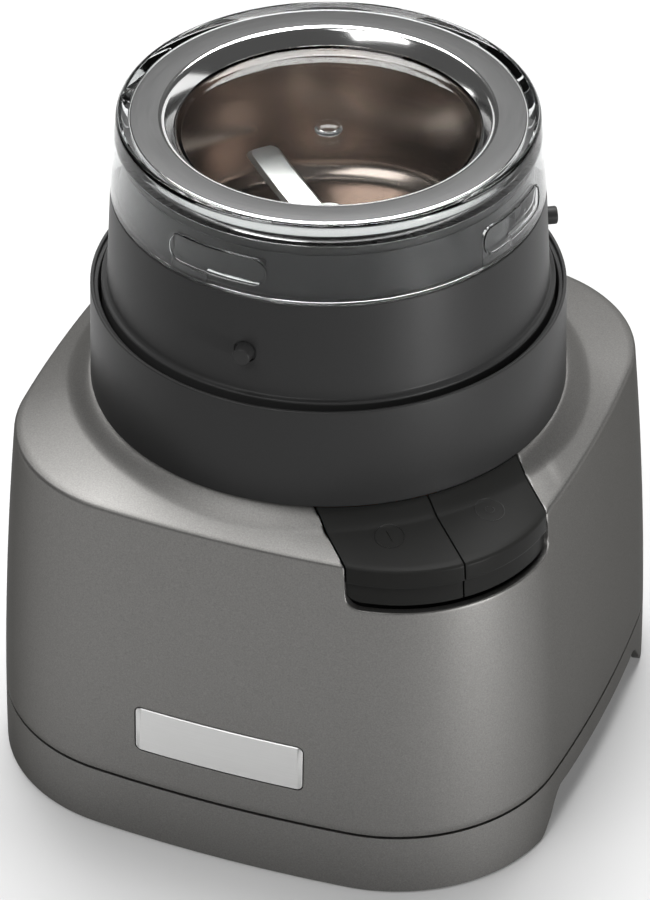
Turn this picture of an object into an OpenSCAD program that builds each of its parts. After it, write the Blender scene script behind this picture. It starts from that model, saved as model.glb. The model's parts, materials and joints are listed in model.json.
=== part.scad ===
// Grinding mill with a clear lid, standing on a motor base with two keys.
// Millimetres. The origin is on the mill's axis at the floor, +Z is up and the front faces -Y.

/* [Base shell] */
// Outer radius of the collar where it stands on the base
collar_r = 63; // [58:0.5:70]
// From the collar out to the shoulder, at the end of a side
shoulder_w = 10; // [8:0.5:16]
// How much further out a side stands at the floor than at the shoulder
side_taper = 5.7; // [2:0.1:9]
// Power of the side's curve, where 1 is a straight side
side_curve = 1.75; // [1:0.05:3]
// How far the middle of a side bulges
side_bow = 1.4; // [0.6:0.1:3]
// Radius of the base's corners at the shoulder
corner_r = 41; // [34:0.5:50]
// Radius of the shoulder's rounded edge
shoulder_fillet = 2.5; // [1:0.1:4]
// Rise of the top face from the shoulder in to the cove
slope_h = 3.8; // [2:0.1:6]
// Height of the cove that sweeps up to the collar
cove_h = 2; // [1:0.1:4]
// Width of that cove
cove_w = 5; // [3:0.1:8]
// Wall thickness of the two shells
wall = 3; // [2:0.1:4]
// Thickness of the deck under the collar
deck_t = 3; // [2:0.1:5]
// Width of the deck's ring under the collar
deck_w = 17; // [14:0.5:22]

/* [Base tray] */
// Height of the split between the tray and the upper housing
split_z = 19.2; // [16:0.1:24]
// Width of the dark line at the split
split_gap = 0.4; // [0.2:0.1:1]
// Clearance from the floor to the apron
apron_lift = 0.6; // [0.4:0.1:2]
// Height of the tray floor's underside
floor_z = 12.5; // [12:0.1:15]
// Thickness of the tray floor
floor_t = 3; // [2:0.1:4]
// Height of the arch in each side of the apron
arch_h = 11.5; // [6:0.1:11.8]
// Half the arch's width at the floor
arch_half = 43; // [30:0.5:50]
// Length of the S curve at each end of the arch
arch_run = 13; // [6:0.5:20]
// Height of the tray's lip inside the housing, above the split
lip_h = 4; // [2:0.5:8]
// Distance of a foot from the middle, along X and along Y
foot_offset = 50; // [40:0.5:54]
// Radius of a rubber foot
foot_r = 9; // [6:0.5:12]
// Height of a rubber foot below its boss
foot_h = 4; // [2:0.5:8]
// Diameter of the tray's screws
tray_screw_d = 3; // [2.5:0.1:4]

/* [Nameplate] */
// Width of the plate
plate_w = 47.2; // [30:0.1:60]
// Height of the plate
plate_h = 13.6; // [8:0.1:20]
// Thickness of the plate
plate_t = 1; // [0.6:0.1:2]
// Corner radius of the plate
plate_corner = 1.6; // [0.5:0.1:3]
// Height of the plate's centre
plate_z = 37; // [32:0.5:60]
// How far the plate stands proud at its middle
plate_proud = 0.2; // [0.1:0.1:0.6]

/* [Keys] */
// Half the width of the pair of keys
key_half = 28; // [24:0.5:30]
// Gap around the keys
key_gap = 0.5; // [0.3:0.1:1]
// Height of a key's front face
key_face_h = 10.9; // [9:0.1:12]
// Gap that a pressed key leaves above the notch's lower edge
notch_clear = 0.5; // [0.4:0.1:2]
// Radius of the notch's lower corners
notch_corner = 3; // [1:0.5:5]
// Thickness of a key's top at the shoulder
key_plate = 2.4; // [2:0.1:3]
// From the hinge pin out to the keys' front, along the corner
key_reach = 18.25; // [17.5:0.25:20]
// Diameter of the hinge pin
pin_d = 3; // [2.5:0.1:3.2]
// How far a key tips, in degrees
key_tip = 3.5; // [2:0.5:4]
// Wire of a key spring
key_spring_wire = 0.7; // [0.4:0.1:0.9]
// Turns of a key spring
key_spring_turns = 6; // [4:1:8]

/* [Collar] */
// Height of the collar above the base
collar_h = 28.8; // [24:0.1:40]
// Thickness of the collar's wall at its rim
collar_wall = 2.1; // [1.8:0.1:3]
// How much the collar narrows to its rim
collar_draft = 0.7; // [0:0.1:2]
// Thickness of the socket's floor
collar_floor = 5; // [4:0.1:7]

/* [Mill] */
// Gap between the collar's socket and the mill's skirt
mill_gap = 0.8; // [0.6:0.1:1.5]
// Wall of the mill's casing
mill_wall = 2.6; // [2:0.1:3.5]
// From the collar's rim up to the lid's skirt
mill_h = 28.3; // [24:0.1:40]
// How much the casing narrows up to the lid
mill_draft = 3.1; // [1:0.1:5]
// From the casing in to the neck inside the lid
neck_step = 4.3; // [4:0.1:6]
// Height of the neck inside the lid
neck_h = 11.5; // [10.5:0.1:14]
// Diameter of the three pegs
peg_d = 6; // [4:0.1:8]
// How far a peg stands out
peg_out = 2; // [1:0.1:4]
// Height of the pegs above the collar's rim
peg_rise = 12.7; // [8:0.1:18]
// From the socket's floor up to the underside of the bowl
hub_h = 25.9; // [24:0.1:34]
// Sheet thickness of the bowl
bowl_t = 0.8; // [0.6:0.1:1.5]
// How much the bowl narrows to its floor
bowl_draft = 6; // [2:0.5:10]
// Radius of the bowl's bottom corner
bowl_corner = 8; // [4:0.5:10]

/* [Blade] */
// Diameter of the blade's shaft
blade_shaft_d = 8; // [6:0.5:10]
// From the axis to the tip of a wing
blade_reach = 38.5; // [30:0.5:39]
// Width of the blade
blade_w = 9; // [7:0.5:14]
// Thickness of the blade
blade_t = 1.5; // [1:0.1:2.5]
// Height of the blade above the bowl's floor
blade_rise = 7; // [6:0.5:10]
// How far the wings bend up, in degrees
blade_bend = 12; // [5:1:18]
// Direction of the wing that points to the back left, in degrees
blade_turn = 137; // [0:1:180]
// Width across the flats of the blade's nut
nut_af = 10; // [8:0.5:13]

/* [Lid] */
// Height of the lid
lid_h = 21.6; // [20:0.1:26]
// Thickness of the lid's skirt
lid_wall = 2.2; // [1.8:0.1:2.6]
// How much the skirt narrows to the top
lid_draft = 2; // [1:0.1:3]
// Radius of the lid's top edge
lid_edge = 3; // [1:0.1:3.2]
// Width of the clear rim outside the trim ring
lid_rim = 3.3; // [3.2:0.1:5]
// Width of the trim ring
ring_w = 8.7; // [6:0.1:11]
// Thickness of the trim ring
ring_t = 1.2; // [0.8:0.1:1.8]
// Width of the sloping throat inside the ring
throat_w = 3.1; // [2:0.1:5]
// Depth of the window below the lid's top
window_drop = 5.4; // [4:0.1:5.6]
// Thickness of the window
window_t = 1.8; // [1.4:0.1:2.2]
// Height of the seal between the bowl and the lid
seal_h = 3.4; // [2.4:0.1:4]
// How far the lid turns to unlock, in degrees
lid_turn = 17; // [12:1:19]
// Width of a bayonet lug, in degrees
lug_span = 11; // [8:1:12]

/* [Motor] */
// Diameter of the motor shaft
shaft_d = 8; // [6:0.5:9]
// Outer diameter of a ball bearing
bearing_d = 22; // [19:0.5:24]
// Width of a ball bearing
bearing_w = 7; // [6:0.5:9]
// Thickness of the motor brackets
bracket_t = 3.5; // [2.5:0.1:5]
// Diameter of the commutator
commutator_d = 24; // [20:0.5:28]
// Length of the commutator
commutator_h = 12; // [10:0.5:16]
// Diameter of the rotor
rotor_d = 40; // [36:0.5:42]
// Length of the lamination stacks
stack_h = 29; // [22:0.5:36]
// Gap between the rotor and the poles
air_gap = 0.6; // [0.4:0.1:1]
// Room for the windings, from the pole shoes out to the stator's outer ring
coil_room = 9; // [8:0.5:12]
// Width of the stator's outer ring
yoke_w = 7; // [6.5:0.1:8]
// How far the windings stand out of the stacks
coil_end = 5; // [4:0.5:7]
// Diameter of the cooling fan
fan_d = 58; // [48:0.5:60]
// Height of the cooling fan
fan_h = 8; // [6:0.5:12]
// Clearance under the motor
motor_gap = 2.5; // [2:0.1:6]
// Distance of the motor's mounts from the axis
mount_r = 55; // [53:0.5:56]
// Length of the bosses that the motor hangs on
boss_h = 6; // [5:0.5:10]
// Thickness of a rubber mount
grommet_t = 3; // [2:0.5:5]

/* [Cord inlet] */
// Bore of the bush for the mains cord
inlet_bore = 7.4; // [6:0.1:9]
// Wall of that bush
inlet_wall = 2.3; // [1.5:0.1:3]
// Distance of the bush from the middle of the back
inlet_x = 30; // [24:0.5:36]
// Clearance of the bush above the tray's lip
inlet_rise = 2; // [1:0.5:10]

/* [Hidden] */
$fn = 64;

// Clearances: a running fit and a press fit on the radius, and pieces that only pass each other
run_fit = 0.05;
press = 0.02;
ease = 0.3;
// Depth by which pieces of one solid sink into each other
bite = 0.5;

// Heights of the motor, from the tray's floor up to the deck
floor_top = floor_z + floor_t;
low_z = floor_top + motor_gap;
hub_floor = 1.5;
low_bearing_z = low_z + hub_floor;
commutator_z = low_bearing_z + bearing_w + 2.5;
stack_z = commutator_z + commutator_h + coil_end;
stack_top = stack_z + stack_h;
fan_z = stack_top + coil_end + 2.5;
bracket_z = fan_z + fan_h + 2.5;
bracket_top = bracket_z + bracket_t;
high_bearing_z = bracket_top + hub_floor;
boss_z = bracket_top + grommet_t;
deck_under = boss_z + boss_h;
deck_z = deck_under + deck_t;
shoulder_z = deck_z - cove_h - slope_h;

// Plan of the base
half_top = collar_r + shoulder_w;
half_floor = half_top + side_taper;
corner_c = half_top - corner_r;
deck_hole_r = collar_r - deck_w;
cove_run = min(cove_w, shoulder_w + side_bow - shoulder_fillet - bite);
side_steps = 4;
corner_steps = 12;
wall_steps = 7;

// Motor radii
stator_bore = rotor_d / 2 + air_gap;
shoe_t = 3.4;
yoke_in = stator_bore + shoe_t + coil_room;
stator_r = yoke_in + yoke_w;
bolt_r = stator_r - yoke_w / 2;
bolt_d = 4;
post_r = 5;
pole_half = 12;
slot_count = 12;
slot_w = 3.2;
slot_d = 4;
hub_r = bearing_d / 2 + 4;

// Brushes
brush_z = commutator_z + commutator_h / 2;
brush_h = commutator_h - 4;
brush_w = 6;
brush_l = 13;
holder_wall = 0.8;
holder_y = commutator_d / 2 + 2;
holder_l = 20;
brush_spring_l = holder_y + holder_l - commutator_d / 2 - brush_l;

// Cord inlet
inlet_r = inlet_bore / 2 + inlet_wall;
inlet_flange = 2.5;
inlet_l = 8;
inlet_z = split_z + lip_h + inlet_r + inlet_flange + inlet_rise;

// Screw posts of the tray, one in the middle of each side
post_x = half_floor - 5.2;
tray_post_r = 4.5;
tray_post_h = 30;
screw_head_h = 2.2;
tray_screw_l = 15;

// Air slots in the tray's floor, in two rows
vent_pitch = 12;
vent_w = 3;
vent_l = 28;
vent_y = 34;

// Keys, in a frame turned so that its X runs out along the corner's diagonal
corner_x = corner_c * sqrt(2);
pin_x = corner_x + corner_r - key_reach;
pin_z = shoulder_z - 6;
key_under = shoulder_z - key_plate;
key_wall = 2.5;
shelf_t = 2.5;
shelf_top = pin_z - 9.7;
shelf_z = shelf_top - shelf_t;
shelf_half = key_half - key_gap;
board_t = 1.6;
switch_h = 6;
switch_half = 4;
switch_x = pin_x + 6;
switch_y = 9.5;
board_half = switch_y + switch_half + bite;
switch_top = shelf_top + board_t + switch_h;
plunger_r = 1.5;
plunger_up = 1.6;
key_spring_r = 2.6;
key_spring_x = pin_x + pin_d / 2 + ease + key_spring_r + key_spring_wire / 2;
key_spring_y = board_half + key_spring_r + key_spring_wire / 2 + ease;
ear_t = 3;
ear_near = switch_y - switch_half - ear_t - bite;
ear_far = key_half - key_gap - 2 * ear_t - ease;
ear_r = 3.5;
key_drop = key_reach * sin(key_tip);
notch_h = key_face_h + key_drop + notch_clear;
fence_t = 1.2;
fence_r = corner_r - wall - 0.6;
fence_top = shoulder_z - key_face_h - key_drop - ease;
key_spring_l = key_under - shelf_top - ease;
shelf_boss_x = collar_r - 9;
shelf_boss_y = 22;
shelf_boss_r = 4;
shelf_screw_l = 12.5;

// Collar and mill
rim_z = deck_z + collar_h;
socket_z = deck_z + collar_floor;
socket_r = collar_r - collar_draft - collar_wall;
skirt_r = socket_r - mill_gap;
ledge_z = rim_z + mill_h;
ledge_r = skirt_r - mill_draft;
neck_r = ledge_r - neck_step;
neck_z = ledge_z + neck_h;
hub_top = socket_z + hub_h;
collar_screw_r = deck_hole_r + 6;
collar_hub = 3;
foot_rim = skirt_r - mill_wall - ease;
foot_w = 8;
foot_lift = 2;
tab_w = 6;
tab_h = foot_lift - 0.4;
mill_plate = socket_z + 4.5;
mill_boss_r = 4.5;
mill_boss_x = skirt_r - mill_wall - 4;
mill_boss_top = socket_z + 15;
mill_screw_top = socket_z + 12;

// Dog clutch
dog_z = socket_z + collar_hub + ease;
dog_h = 9.5;
dog_r = shaft_d / 2 + 2.5;
dog_tooth = 3;
dog_tooth_w = 4;
cup_r = dog_r + dog_tooth + 5;
cup_in = dog_z + dog_h + 0.7;
cup_top = cup_in + 3.3;

// Bowl and blade
bush_r = blade_shaft_d / 2 + 3;
bowl_rim_r = neck_r - mill_wall - ease;
bowl_floor_r = bowl_rim_r - bowl_draft;
bowl_floor = hub_top + bowl_t;
blade_z = bowl_floor + blade_rise;
stud_r = blade_shaft_d / 2 - 1.5;
nut_h = 6;

// Lid
lid_z = ledge_z + ease;
lid_top = lid_z + lid_h;
ring_out = ledge_r - lid_draft - lid_rim;
ring_in = ring_out - ring_w;
ring_seat = lid_top - 0.4 - ring_t;
window_r = ring_in - throat_w;
window_z = lid_top - window_drop;
lid_under = neck_z + bowl_t + seal_h + 0.1;
lug_r = neck_r + 1.4;
lug_z = ledge_z + 4.4;
lug_h = 6;
pocket_r = lug_r + 0.8;
lock_angle = -91;

// Half width of the base at height z
function half_at(z) = half_floor - side_taper * pow(z / shoulder_z, side_curve);

// Plan outline of the base: four bowed sides and four round corners, all tangent
function outline(half) =
    let (rc = half - corner_c)
    let (mid = half + side_bow)
    let (side_r = corner_c * corner_c / (2 * side_bow) + rc + side_bow / 2)
    let (turn = asin(corner_c / (side_r - rc)))
    let (quarter = [
        for (i = [0 : side_steps - 1])
            let (t = turn * (2 * i / side_steps - 1))
            [mid - side_r + side_r * cos(t), side_r * sin(t)],
        for (i = [0 : corner_steps - 1])
            let (t = turn + (90 - 2 * turn) * i / corner_steps)
            [corner_c + rc * cos(t), corner_c + rc * sin(t)]
    ])
    [for (q = [0 : 3]) for (p = quarter)
        [p.x * cos(90 * q) - p.y * sin(90 * q), p.x * sin(90 * q) + p.y * cos(90 * q)]];

function lift(points, z) = [for (p = points) [p.x, p.y, z]];
function wall_ring(z, inset = 0) = lift(outline(half_at(z) - inset), z);
function round_ring(r, z) = [for (p = outline(half_top)) [r * p.x / norm(p), r * p.y / norm(p), z]];

// Rings of the outer face from height z up to the deck
function outer_rings(z) = [
    for (i = [0 : wall_steps]) wall_ring(z + (shoulder_z - shoulder_fillet - z) * i / wall_steps),
    for (t = [20, 40, 60])
        lift(outline(half_top - shoulder_fillet * (1 - cos(t))), shoulder_z - shoulder_fillet * (1 - sin(t))),
    for (s = [1, 0.72, 0.46, 0.22, 0])
        round_ring(collar_r + ease + cove_run * s, deck_z - cove_h + cove_h * (1 - s) * (1 - s))
];

// Rings of the inner face from the deck's hole back down to height z
function inner_rings(z) = [
    round_ring(deck_hole_r - 1, deck_z),
    round_ring(deck_hole_r - 1, deck_under),
    round_ring(collar_r - 1, deck_under),
    lift(outline(half_top - wall - 1), shoulder_z - wall),
    for (i = [0 : 4])
        let (h = shoulder_z - 2 * wall + (z - shoulder_z + 2 * wall) * i / 4)
        wall_ring(h, wall)
];

// Skin over a stack of rings. A closed stack runs back to its first ring, an open one gets two caps
module loft(rings, closed = false) {
    n = len(rings[0]);
    m = len(rings);
    strips = closed ? m : m - 1;
    sides = [for (i = [0 : strips - 1]) for (j = [0 : n - 1])
        let (a = i * n + j)
        let (b = i * n + (j + 1) % n)
        let (c = ((i + 1) % m) * n + (j + 1) % n)
        let (d = ((i + 1) % m) * n + j)
        each [[a, c, b], [a, d, c]]];
    caps = closed ? [] : [[for (j = [0 : n - 1]) j], [for (j = [0 : n - 1]) m * n - 1 - j]];
    polyhedron([for (ring = rings) each ring], concat(sides, caps), convexity = 8);
}

// Places: four sides, four corners, and the frame along the corner with the keys
module on_sides(r) { for (a = [0 : 90 : 270]) rotate([0, 0, a]) translate([r, 0, 0]) children(); }
module on_corners(r) { for (a = [45 : 90 : 315]) rotate([0, 0, a]) translate([r, 0, 0]) children(); }
module key_frame() { rotate([0, 0, -45]) children(); }
module ring_of(count, r, start = 0) {
    for (i = [0 : count - 1]) rotate([0, 0, start + 360 * i / count]) translate([r, 0, 0]) children();
}

// Cylinder, tube and box between two heights
module rod(r, z0, z1) { translate([0, 0, z0]) cylinder(r = r, h = z1 - z0); }
module tube(r_in, r_out, z0, z1) {
    difference() {
        rod(r_out, z0, z1);
        rod(r_in, z0 - 1, z1 + 1);
    }
}
module slab(x0, x1, y0, y1, z0, z1) { translate([x0, y0, z0]) cube([x1 - x0, y1 - y0, z1 - z0]); }

// Pan head screw that points up, with its head under z
module screw(d, z, length) {
    rod(d / 2, z - bite, z + length);
    rod(d, z - screw_head_h, z);
}

// Part of a ring between two angles
module sector(r_in, r_out, a0, a1, z0, z1) {
    rotate([0, 0, a0]) rotate_extrude(angle = a1 - a0) translate([r_in, z0]) square([r_out - r_in, z1 - z0]);
}

// Compression spring of round wire, one unbroken tube with eight rings a turn
function coil_path(r, length, turns, wire) =
    let (step = (length - wire) / (8 * turns))
    [for (i = [0 : 8 * turns]) [r * cos(45 * i), r * sin(45 * i), wire / 2 + step * i]];
function coil_gap(path, wire) = min([for (i = [0 : len(path) - 9]) norm(path[i + 8] - path[i])]) - wire;
module coil_spring(r, length, turns, wire, label) {
    path = coil_path(r, length, turns, wire);
    echo(str(label, " least gap"), coil_gap(path, wire));
    rise = atan((length - wire) / turns / (2 * PI * r));
    rings = [for (i = [0 : len(path) - 1]) [for (k = [0 : 5])
        let (out = [cos(45 * i), sin(45 * i), 0])
        let (up = [sin(45 * i) * sin(rise), -cos(45 * i) * sin(rise), cos(rise)])
        path[i] + wire / 2 * (cos(-60 * k) * out + sin(-60 * k) * up)]];
    loft(rings);
}

// Base

module arch_cut() {
    steps = 8;
    rise = [for (i = [0 : steps])
        let (t = i / steps)
        [arch_run * t - arch_half, arch_h * t * t * (3 - 2 * t)]];
    fall = [for (i = [steps : -1 : 0]) [-rise[i].x, rise[i].y]];
    points = concat([[-arch_half, -1]], rise, fall, [[arch_half, -1]]);
    rotate([90, 0, 90]) translate([0, 0, -half_floor * 1.2]) linear_extrude(half_floor * 2.4) polygon(points);
}

module base_tray() {
    top = split_z - split_gap;
    lip_half = half_at(split_z) - wall - ease;
    lip_l = split_z + lip_h - floor_top + bite;
    outer = [for (i = [0 : 3]) wall_ring(apron_lift + (top - apron_lift) * i / 3)];
    inner = [wall_ring(top, wall), wall_ring(apron_lift, wall)];
    color("#6E6D6B") difference() {
        union() {
            loft(concat(outer, inner), closed = true);
            translate([0, 0, floor_z]) linear_extrude(floor_t) polygon(outline(lip_half + ease + bite));
            translate([0, 0, floor_top - bite]) linear_extrude(lip_l) difference() {
                polygon(outline(lip_half));
                polygon(outline(lip_half - wall / 2));
            }
            for (x = [-1, 1]) for (y = [-1, 1])
                translate([x * foot_offset, y * foot_offset, 0]) rod(foot_r, foot_h, floor_z + bite);
        }
        intersection() {
            arch_cut();
            rod(2 * half_floor, -1, floor_z - 0.2);
        }
        on_sides(post_x) {
            rod(tray_screw_d / 2 + ease, floor_z - 1, floor_top + 1);
            rod(tray_post_r + ease, floor_top, split_z + lip_h + 1);
        }
        for (x = [-1, 1]) for (y = [-1, 1])
            translate([x * foot_offset, y * foot_offset, 0]) rod(foot_r / 3 + press, foot_h - 1, floor_z - 1);
        for (i = [-2 : 2]) for (y = [-1, 1])
            translate([i * vent_pitch, y * vent_y, 0])
                slab(-vent_w / 2, vent_w / 2, -vent_l / 2, vent_l / 2, floor_z - 1, floor_top + 1);
    }
}

module rubber_feet() {
    color("#202020") for (x = [-1, 1]) for (y = [-1, 1])
        translate([x * foot_offset, y * foot_offset, 0]) {
            rod(foot_r, 0, foot_h);
            rod(foot_r / 3, foot_h - bite, floor_z - 2);
        }
}

module tray_screws() {
    color("#B8B8B8") on_sides(post_x) screw(tray_screw_d, floor_z, tray_screw_l);
}

module notch_cut() {
    half = key_half + key_gap;
    low = shoulder_z - notch_h;
    key_frame() difference() {
        union() {
            slab(0, 2 * half_floor, -half, half, low + notch_corner, deck_z + 1);
            slab(0, 2 * half_floor, notch_corner - half, half - notch_corner, low, deck_z + 1);
            for (s = [-1, 1])
                translate([0, s * (half - notch_corner), low + notch_corner]) rotate([0, 90, 0])
                    cylinder(r = notch_corner, h = 2 * half_floor);
        }
        rod(collar_r + ease / 2, low - 1, deck_z + 2);
    }
}

// Things set in the front wall: the plate's tilt follows the wall there
module on_front(z) {
    slope = (half_at(z - 1) - half_at(z + 1)) / 2;
    translate([0, -half_at(z) - side_bow, z]) rotate([90 - atan(slope), 0, 0]) children();
}

module plate_form(grow, t) {
    w = plate_w + 2 * grow;
    h = plate_h + 2 * grow;
    r = plate_corner + grow;
    linear_extrude(t) {
        square([w - 2 * r, h], center = true);
        square([w, h - 2 * r], center = true);
        for (x = [-1, 1]) for (y = [-1, 1]) translate([x * (w / 2 - r), y * (h / 2 - r)]) circle(r);
    }
}

module inlet_place() {
    translate([inlet_x, half_at(inlet_z), inlet_z]) rotate([-90, 0, 0]) children();
}

module upper_housing() {
    color("#6E6D6B") difference() {
        union() {
            loft(concat(outer_rings(split_z), inner_rings(split_z)), closed = true);
            on_sides(post_x) rod(tray_post_r, floor_top, split_z + tray_post_h);
            on_sides(mount_r) rod(post_r, boss_z, deck_under + bite);
            key_frame() for (s = [-1, 1]) translate([shelf_boss_x, s * shelf_boss_y, 0])
                rod(shelf_boss_r, shelf_top, deck_under + bite);
        }
        rod(deck_hole_r, deck_under - 1, deck_z + 1);
        notch_cut();
        on_front(plate_z) translate([0, 0, plate_proud - plate_t]) plate_form(ease, plate_t + 2);
        on_sides(post_x) rod(tray_screw_d / 2 + press, floor_top - 1, floor_z + tray_screw_l + 1);
        on_sides(mount_r) rod(bolt_d / 2 + press, boss_z - 1, deck_under);
        on_corners(collar_screw_r) rod(tray_screw_d / 2 + ease, deck_under - 1, deck_z + 1);
        key_frame() for (s = [-1, 1])
            translate([shelf_boss_x, s * shelf_boss_y, 0])
                rod(tray_screw_d / 2 + press, shelf_top - 1, shelf_z + shelf_screw_l + 1);
        inlet_place() rod(inlet_r + ease, -2 * wall, wall);
    }
}

module nameplate() {
    color("#D4D4D3") on_front(plate_z) translate([0, 0, plate_proud - plate_t]) plate_form(0, plate_t);
}

module cord_inlet() {
    color("#262626") inlet_place() difference() {
        union() {
            rod(inlet_r, -wall - inlet_l, 0);
            rod(inlet_r + inlet_flange, -wall - 3, -wall - 1);
        }
        rod(inlet_bore / 2, -wall - inlet_l - 1, 1);
    }
}

// Collar

module collar() {
    rim_r = collar_r - collar_draft;
    rim_edge = 0.7;
    hub_in = bearing_d / 2;
    hub_out = hub_in + 3;
    lip_r = deck_hole_r - ease;
    color("#3C3C3C") difference() {
        union() {
            rotate_extrude() polygon([
                [hub_in, deck_z], [lip_r - 2, deck_z], [lip_r - 2, deck_under], [lip_r, deck_under],
                [lip_r, deck_z], [collar_r, deck_z], [rim_r, rim_z - rim_edge], [rim_r - rim_edge, rim_z],
                [socket_r, rim_z], [socket_r, socket_z], [hub_out, socket_z],
                [hub_out, socket_z + collar_hub], [hub_in, socket_z + collar_hub]
            ]);
            ring_of(3, foot_rim - foot_w, 90)
                slab(0, foot_w, -tab_w / 2, tab_w / 2, socket_z - bite, socket_z + tab_h);
        }
        on_corners(collar_screw_r) rod(tray_screw_d / 2 + press, deck_z - 1, socket_z - 0.8);
    }
}

module collar_screws() {
    color("#B8B8B8") on_corners(collar_screw_r) screw(tray_screw_d, deck_under, deck_t + collar_floor - 1.2);
}

module drive_seal() {
    sink = 0.6;
    color("#1C1C1C")
        tube(shaft_d / 2 + run_fit, bearing_d / 2 - press, deck_z + sink, socket_z + collar_hub - sink);
}

// Keys: side -1 is the on key, side 1 the pulse key

module key(side) {
    corner_in = corner_r - key_wall;
    near = key_gap / 2;
    far = key_half;
    low = shoulder_z - key_face_h;
    key_frame() mirror([0, side < 0 ? 1 : 0, 0]) difference() {
        union() {
            difference() {
                intersection() {
                    rotate([0, 0, 45]) loft(outer_rings(shoulder_z - 2 * notch_h));
                    slab(0, 2 * half_floor, near, far, low, deck_z + 1);
                }
                rod(collar_r + key_gap + ease, 0, deck_z + 2);
                slab(0, switch_x, -1, far + 1, 0, key_under);
                difference() {
                    slab(0, 2 * half_floor, far - notch_corner, far + 1, low - 1, low + notch_corner);
                    translate([0, far - notch_corner, low + notch_corner]) rotate([0, 90, 0])
                        cylinder(r = notch_corner, h = 2 * half_floor);
                }
                intersection() {
                    slab(0, 2 * half_floor, near + key_wall, far - key_wall, 0, key_under);
                    translate([corner_x, 0, 0]) rod(corner_in, 0, deck_z);
                }
            }
            for (y = [ear_near, ear_far])
                slab(pin_x - ear_r, pin_x + ear_t, y, y + ear_t, pin_z - ear_r, key_under + bite);
            slab(switch_x - plunger_r, switch_x + plunger_r, switch_y - 1, switch_y + 1,
                switch_top + plunger_up + ease, key_under + bite);
        }
        translate([pin_x, 0, pin_z]) rotate([-90, 0, 0]) cylinder(r = pin_d / 2 + run_fit, h = key_half);
    }
}

module on_button() { color("#2F2F2E") key(-1); }
module pulse_button() { color("#2F2F2E") key(1); }

module button_bracket() {
    color("#303030") key_frame() difference() {
        union() {
            intersection() {
                slab(shelf_boss_x - shelf_boss_r, 2 * half_floor, -shelf_half, shelf_half, shelf_z, shelf_top);
                translate([corner_x, 0, 0]) rod(fence_r, shelf_z - 1, shelf_top + 1);
            }
            intersection() {
                slab(pin_x, 2 * half_floor, -shelf_half, shelf_half, shelf_z, shoulder_z);
                translate([corner_x, 0, 0]) tube(fence_r - fence_t, fence_r, shelf_z, fence_top);
            }
            for (y = [-shelf_half, -ear_t / 2, shelf_half - ear_t])
                slab(pin_x - ear_r, pin_x + ear_t, y, y + ear_t, shelf_top - bite, pin_z + 2.6);
        }
        translate([pin_x, -key_half, pin_z]) rotate([-90, 0, 0])
            cylinder(r = pin_d / 2 + press, h = 2 * key_half);
        for (s = [-1, 1])
            translate([shelf_boss_x, s * shelf_boss_y, 0])
                rod(tray_screw_d / 2 + ease, shelf_z - 1, shelf_top + 1);
    }
}

module bracket_screws() {
    color("#B8B8B8") key_frame() for (s = [-1, 1])
        translate([shelf_boss_x, s * shelf_boss_y, 0]) screw(tray_screw_d, shelf_z, shelf_screw_l);
}

module button_pin() {
    color("#C0C0C0") key_frame() translate([pin_x, -shelf_half, pin_z]) rotate([-90, 0, 0])
        cylinder(r = pin_d / 2, h = 2 * shelf_half);
}

module key_spring(side) {
    color("#BDBDBD") key_frame() translate([key_spring_x, side * key_spring_y, shelf_top])
        coil_spring(key_spring_r, key_spring_l, key_spring_turns, key_spring_wire, "key spring");
}
module on_button_spring() { key_spring(-1); }
module pulse_button_spring() { key_spring(1); }

module switch_board() {
    color("#2E6B3A") key_frame() slab(pin_x + ear_t + ease, switch_x + switch_half,
        -board_half, board_half, shelf_top, shelf_top + board_t);
}

module micro_switches() {
    color("#222222") key_frame() for (s = [-1, 1]) translate([switch_x, s * switch_y, 0]) difference() {
        slab(-2.5, 3.5, -switch_half, switch_half, shelf_top + board_t, switch_top);
        rod(plunger_r + run_fit, switch_top - 3, switch_top + 1);
    }
}

module switch_plunger(side) {
    color("#B03030") key_frame() translate([switch_x, side * switch_y, 0])
        rod(plunger_r, switch_top - 1.5, switch_top + plunger_up);
}
module on_switch_plunger() { switch_plunger(-1); }
module pulse_switch_plunger() { switch_plunger(1); }

// Motor

module stator_core() {
    color("#7A7D80") difference() {
        union() {
            tube(yoke_in, stator_r, stack_z, stack_top);
            for (s = [0, 180]) rotate([0, 0, s]) {
                slab(-pole_half, pole_half, stator_bore + 1, yoke_in + bite, stack_z, stack_top);
                sector(stator_bore, stator_bore + shoe_t, 40, 140, stack_z, stack_top);
            }
        }
        for (s = [-1, 1]) translate([s * bolt_r, 0, 0])
            rod(bolt_d / 2 + ease / 2, stack_z - 1, stack_top + 1);
        rod(stator_bore, stack_z - 1, stack_top + 1);
    }
}

module field_coils() {
    color("#B5652A") for (s = [0, 180]) rotate([0, 0, s]) difference() {
        sector(stator_bore + shoe_t + ease, yoke_in - ease, 44, 136,
            stack_z - coil_end, stack_top + coil_end);
        slab(-pole_half - ease, pole_half + ease, 0, stator_r, stack_z - ease, stack_top + ease);
    }
}

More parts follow.
